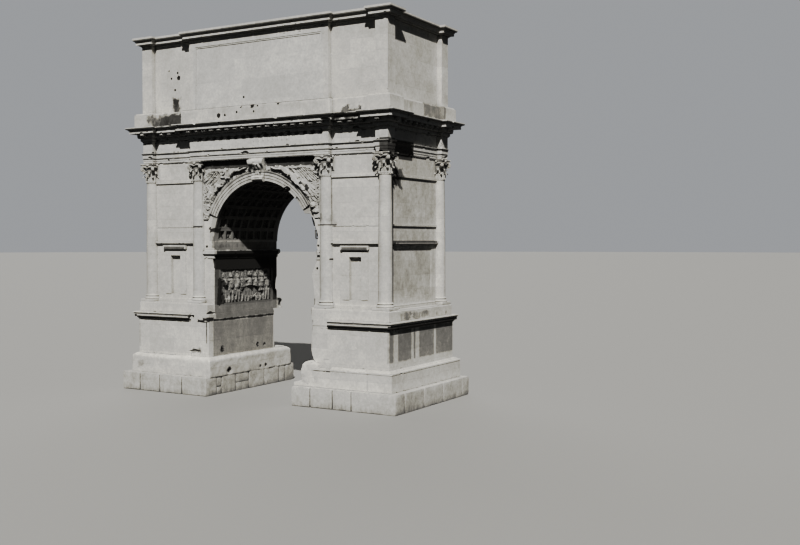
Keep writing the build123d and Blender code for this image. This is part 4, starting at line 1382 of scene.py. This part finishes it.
def drapedFigure(relief, u, low, tall, rng, lift=0.02):
    scale = tall / 1.6
    for fold in range(7):
        offset = (fold - 3) * 0.07 * scale
        start = (u + offset * 0.6, low + 0.95 * scale, 0.07 * scale, lift)
        hem = (u + offset * 1.2, low + 0.03 * scale, 0.06 * scale, lift)
        relief.limb([start, hem], 0.01 * scale, 0.05 * scale)
    chest = [(u, low + 0.9 * scale, 0.17 * scale, lift), (u, low + 1.22 * scale, 0.18 * scale, lift)]
    relief.limb(chest, 0.008 * scale, 0.06)
    lean = rng.uniform(-0.04, 0.04) * scale
    relief.ball(u + lean, low + 1.46 * scale, 0.105 * scale, lift + 0.05 * scale)
    for side in (-1, 1):
        shoulder = (u + side * 0.15 * scale, low + 1.25 * scale, 0.06 * scale, lift + 0.04 * scale)
        bend = rng.uniform(0.9, 1.05)
        elbow = (u + side * 0.23 * scale, low + bend * scale, 0.055 * scale, lift + 0.04 * scale)
        out, up = rng.uniform(0.02, 0.26), rng.uniform(0.85, 1.3)
        hand = (u + side * out * scale, low + up * scale, 0.045 * scale, lift + 0.08 * scale)
        relief.limb([shoulder, elbow, hand])


frieze = {"figures": 8, "start": -0.1, "pitch": 0.26, "foot": 11.29, "front": -2.656, "flat": 0.6}


def addFriezeFigures():
    rng = random.Random(8)
    relief = Relief(-0.3, 2.0, 11.27, 11.68, 0.01)
    for number in range(frieze["figures"]):
        u = frieze["start"] + frieze["pitch"] * number + rng.uniform(-0.03, 0.03)
        drapedFigure(relief, u, frieze["foot"], rng.uniform(0.32, 0.36), rng, 0)
    relief.weather(5, 0.01, 0.9)
    relief.h *= frieze["flat"]

    def place(u, v, h):
        return np.stack([u, frieze["front"] - h, v], -1)

    points, faces, hollow = relief.mesh(place)
    addPiece("frieze_figures", points, faces, "marble", 60, hollow * 0.5)


# the face of the keystone: (height, how far it stands out of the wall)
consoleCurve = [(9.68, 0.15), (9.79, 0.262), (9.94, 0.18), (10.19, 0.215), (10.38, 0.335), (10.55, 0.425),
                (10.71, 0.344)]


def addKeystoneFigure(face, end):
    rng = random.Random(60 + face)
    relief = Relief(-0.31, 0.31, 9.7, 10.66, 0.009)
    for side in (-1, 1):  # scrolled edges of the console
        relief.limb([(side * 0.245, 9.72, 0.028, 0.01), (side * 0.27, 9.86, 0.03, 0.012)])
    for leaf in range(5):
        relief.feather((leaf - 2) * 0.085, 9.72, math.pi / 2, 0.15, 0.045, 0.012)
    drapedFigure(relief, 0.01, 9.85, 0.76, rng, 0.045)
    relief.limb([(0.16, 10.1, 0.03, 0.06), (0.2, 10.3, 0.05, 0.06), (0.17, 10.42, 0.06, 0.06)], 0.006, 0.02)
    relief.soften()
    relief.weather(61 + face, 0.014, 0.25)
    levels, outs = zip(*consoleCurve)

    def place(u, v, h):
        return np.stack([u, face * (arch["wall"] + np.interp(v, levels, outs) + h), v], -1)

    points, faces, hollow = relief.mesh(place, face > 0)
    addPiece(f"keystone_figure_{end}", points, faces, "marble", 60, hollow * 0.6)


vault = {
    "rows": 15,
    "deep": 8,
    "floor": 2.809,
    "border": 0.235,
    "bars": (0.15, 0.198),  # inner and outer half width of a coffer's frame
    "barDepth": 0.045,
    "lost": 0.12,  # share of the rosettes that fell
}


def addCoffers():
    parts = []
    rng = random.Random(12)
    pitch = 2 * (arch["wall"] - vault["border"]) / vault["deep"]
    flower = rosette(0.13, 0.06, 8, 7, 32)
    inner, outer = vault["bars"]
    bars = [(-outer, outer, -outer, -inner), (-outer, outer, inner, outer)]
    bars += [(-outer, -inner, -inner, inner), (inner, outer, -inner, inner)]
    for row in range(vault["rows"]):
        angle = 180 * (row + 0.5) / vault["rows"]
        for place in range(vault["deep"]):
            y = vault["border"] - arch["wall"] + pitch * (place + 0.5)
            spin = Matrix.Rotation(math.radians(-angle), 4, "Y")
            frameSpot = Matrix.Translation((0, y, arch["spring"])) @ spin
            for bar in bars:
                part = softBox(vault["floor"] - vault["barDepth"], vault["floor"], *bar, 0.008)
                parts.append(placed(part, frameSpot))
            if rng.random() < 1 - vault["lost"]:
                face = Matrix.Translation((vault["floor"], 0, 0)) @ Matrix.Rotation(math.radians(-90), 4, "Y")
                spin = Matrix.Rotation(rng.random() * 0.4, 4, "Z")
                parts.append(placed(flower, frameSpot @ face @ spin))
    points, faces = joined(parts)
    for i, point in enumerate(points):
        points[i] += np.array(noise.noise_vector(Vector(point) * 9)) * 0.004
    addPiece("coffer_rosettes", points, faces, "vault_marble", 45)


# Blocks of the footing

footing = {
    "seed": 3,
    "shortest": 0.9,
    "longest": 1.75,
    "depth": 0.75,
    "grain": 0.11,
    "frontJoints": (-6.465, -5.22, -3.86),
    "passageJoints": (-2.26, -1.26, -0.29, 0.9, 2.1),
}


def roughBlock(x0, x1, y0, y1, z0, z1, seed):
    spans = (x1 - x0, y1 - y0, z1 - z0)
    middle = Vector(((x0 + x1) / 2, (y0 + y1) / 2, (z0 + z1) / 2))
    made = bmesh.new()
    bmesh.ops.create_cube(made, size=1)
    bmesh.ops.scale(made, vec=spans, verts=made.verts)
    bmesh.ops.translate(made, vec=middle, verts=made.verts)
    for axis in range(3):
        count = int(spans[axis] / footing["grain"])
        for cut in range(1, count):
            at = [0, 0, 0]
            at[axis] = (x0, y0, z0)[axis] + spans[axis] * cut / count
            normal = [0, 0, 0]
            normal[axis] = 1
            everything = list(made.verts) + list(made.edges) + list(made.faces)
            bmesh.ops.bisect_plane(made, geom=everything, plane_co=at, plane_no=normal)
    shift = Vector((seed * 3.1, 0, 0))

    def move(point):
        ends = sum(abs(point[i] - middle[i]) > spans[i] / 2 - 0.001 for i in range(3))
        pull = 0.006 + 0.022 * (ends == 2) + 0.045 * (ends == 3)  # edges and corners lose more
        lump = noise.noise((point + shift) * 2.3) * 0.028 + noise.noise((point + shift) * 8) * 0.014
        return (point + (middle - point).normalized() * (pull + abs(lump)))[:]

    return shaped(made, move)


def jointsBetween(start, end, rng):
    marks = []
    here = start + rng.uniform(footing["shortest"], footing["longest"])
    while here < end - footing["shortest"]:
        marks.append(here)
        here += rng.uniform(footing["shortest"], footing["longest"])
    return marks


def addFooting(sideName):
    low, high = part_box(f"foundation_{sideName}")
    rng = random.Random(sideName + str(footing["seed"]))
    x0, x1, y0, y1 = low[0], high[0], low[1], high[1]
    deep = footing["depth"]
    runs = [("x", x0, x1, y0, y0 + deep), ("x", x0, x1, y1 - deep, y1)]  # front, back, left, right
    runs += [("y", y0 + deep, y1 - deep, x0, x0 + deep), ("y", y0 + deep, y1 - deep, x1 - deep, x1)]
    parts = []
    for number, (along, start, end, near, far) in enumerate(runs):
        marks = jointsBetween(start, end, rng)
        if sideName == "left" and number == 0:
            marks = list(footing["frontJoints"])
        if sideName == "left" and number == 3:
            marks = list(footing["passageJoints"])
        for here, there in zip([start] + marks, marks + [end]):
            spans = (here, there, near, far) if along == "x" else (near, far, here, there)
            split = rng.random() < 0.25  # a few places have two thin courses
            levels = (0, rng.uniform(0.36, 0.48), high[2]) if split else (0, high[2])
            for z0, z1 in zip(levels, levels[1:]):
                parts.append(roughBlock(*spans, z0, z1 - rng.uniform(0, 0.02) * (z1 < high[2]), len(parts)))
    parts.append(softBox(x0 + 0.1, x1 - 0.1, y0 + 0.1, y1 - 0.1, 0.0, high[2] - 0.02))
    points, faces = joined(parts)
    points[:, 2] = np.clip(points[:, 2], 0, high[2])
    piece = addPiece(f"footing_blocks_{sideName}", points, faces, "foundation_stone", 35)
    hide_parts(f"foundation_{sideName}")


cornerBlocks = {
    "lowest": 0.83,
    "front": -3.12,
    "blocks": [  # middle, radii, seed
        ((3.12, -2.7, 1.34), (0.5, 0.42, 0.57), 4),
        ((3.85, -2.88, 1.2), (0.55, 0.21, 0.44), 9),
    ],
}


# what is left of the right podium corner: worn blocks that lean on the dado
def addCornerBlock(number, middle, radii, seed):
    made = bmesh.new()
    bmesh.ops.create_icosphere(made, subdivisions=5, radius=1)

    def move(way):
        square = max(abs(way.x), abs(way.y), abs(way.z)) ** -0.55
        lump = noise.noise(way * 1.3 + Vector((seed, 0, 0))) * 0.14 + noise.noise(way * 7) * 0.025
        return [middle[i] + way[i] * square * (1 + lump) * radii[i] for i in range(3)]

    points, faces = shaped(made, move)
    points[:, 2] = np.maximum(points[:, 2], cornerBlocks["lowest"])
    points[:, 1] = np.maximum(points[:, 1], cornerBlocks["front"])
    addPiece(f"podium_corner_block_{number}", points, faces, "travertine", 50)


for face, end in ((-1, "front"), (1, "back")):
    addSpandrels(face, end)
    addKeystoneFigure(face, end)
for side, sideName in ((-1, "left"), (1, "right")):
    addPassageCarving(side, sideName)
    addFooting(sideName)
addFriezeFigures()
addCoffers()
for number, block in enumerate(cornerBlocks["blocks"]):
    addCornerBlock(number, *block)
print("carving and footing made")

# bigger losses: each a middle and its three radii
losses = {
    "podium_dado_left": [((-2.95, -2.84, 3.36), (0.42, 0.09, 0.07)),
                         ((-2.76, -2.84, 2.72), (0.03, 0.05, 0.34)),
                         ((-3.47, -2.84, 1.95), (0.33, 0.1, 0.13)), ((-2.63, -1.9, 2.03), (0.06, 0.13, 0.16)),
                         ((-2.63, 0.72, 2.02), (0.06, 0.11, 0.1)), ((-2.63, 1.25, 1.97), (0.06, 0.09, 0.08))],
    "podium_cornice_left": [((-3.62, -2.9, 3.55), (0.16, 0.2, 0.14))],
    "podium_base_left": [((-2.36, -1.7, 1.05), (0.08, 0.26, 0.12)), ((-2.36, 0.6, 1.02), (0.08, 0.13, 0.06)),
                         ((-2.36, 1.0, 1.03), (0.08, 0.12, 0.06)), ((-3.6, -3.1, 0.93), (0.2, 0.08, 0.05))],
    "pier_left": [((-2.74, -2.36, 7.6), (0.24, 0.3, 0.15)), ((-2.66, -2.36, 7.98), (0.14, 0.24, 0.2)),
                  ((-2.7, -2.36, 6.05), (0.08, 0.12, 0.3)), ((-2.7, 2.36, 4.9), (0.14, 0.14, 0.4))],
    "stylobate_left": [((-2.72, -2.6, 3.72), (0.12, 0.3, 0.1)), ((-2.72, 2.7, 3.9), (0.1, 0.2, 0.2))],
    "archivolt_front": [((1.5, -2.42, 9.32), (0.2, 0.22, 0.12)), ((2.05, -2.42, 8.8), (0.14, 0.2, 0.2))],
    "arch_masonry": [((1.5, -2.36, 9.2), (0.24, 0.25, 0.2))],
    "vault_coffers": [((1.5, -2.36, 9.2), (0.24, 0.25, 0.2))],
    "attic_wall": [((-4.73, -2.45, 14.65), (0.09, 0.06, 0.12)), ((-5.18, -2.45, 14.67), (0.05, 0.05, 0.05)),
                   ((-4.96, -2.45, 14.12), (0.06, 0.05, 0.07))],
    "attic_base": [((-0.12, -2.93, 13.02), (0.12, 0.07, 0.09)), ((-0.63, -2.93, 13.04), (0.07, 0.06, 0.06)),
                   ((1.07, -2.93, 13.04), (0.09, 0.06, 0.04)), ((-3.85, -2.93, 13.04), (0.06, 0.06, 0.04))],
}
rightEdge = [(4.1, 2.86), (4.37, 2.95), (4.93, 2.94), (5.23, 2.83), (5.58, 2.84), (5.88, 2.94), (6.14, 3.06),
             (6.57, 3.14), (6.83, 3.02), (7.26, 3.12), (7.87, 2.97), (8.05, 2.86), (8.24, 2.74)]
foot, head = rightEdge[0][0], rightEdge[-1][0]
jambLevels = np.arange(foot, head + 0.001, (head - foot) / 40)
rightJamb = cornerLoss(rightEdge, passageHalf, jambLevels, jamb, 4)
endFar = [(-2.2, 1.93), (-2.2, 3.3), (-3.55, 3.3)]
podiumEnd = straightLoss((-3.55, 2.9), (-2.56, 1.93), endFar, 1.75, 3.7, 0.07, 6)
cornerFar = [(2.2, -2.1), (2.2, -3.3), (3.2, -3.3)]
rightCorner = straightLoss((3.2, -2.95), (2.6, -2.1), cornerFar, 3.66, 4.2, 0.05, 9)
dadoEdge = [(1.7, 3.42), (1.88, 3.3), (2.01, 3.2), (2.33, 3.09), (2.66, 3.08), (2.99, 3.14), (3.3, 3.17),
            (3.72, 3.17)]
dadoLevels = np.linspace(dadoEdge[0][0], dadoEdge[-1][0], 24)
dadoCorner = cornerLoss(dadoEdge, lambda z: dado["inner"], dadoLevels, dado, 11)
broken = {
    "podium_dado_right": [dadoCorner],
    "podium_cornice_right": [dadoCorner],
    "podium_dado_left": [podiumEnd],
    "podium_cornice_left": [podiumEnd],
    "stylobate_right": [rightCorner],
}
for node in ("pier_right", "impost_right", "relief_panel_right", "vault_coffers", "spandrels_front"):
    broken[node] = [rightJamb]
for node in nodes:
    if not node.startswith(("column", "capital", "foundation")):
        piece = wornPiece(node, losses.get(node, ()), broken.get(node, ()))
        if node == "podium_base_left":
            melted(piece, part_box(node))
print("worn courses made")

for node, thing in nodes.items():
    thing.data.materials.clear()
    thing.data.materials.append(finish[slotOf(node)])
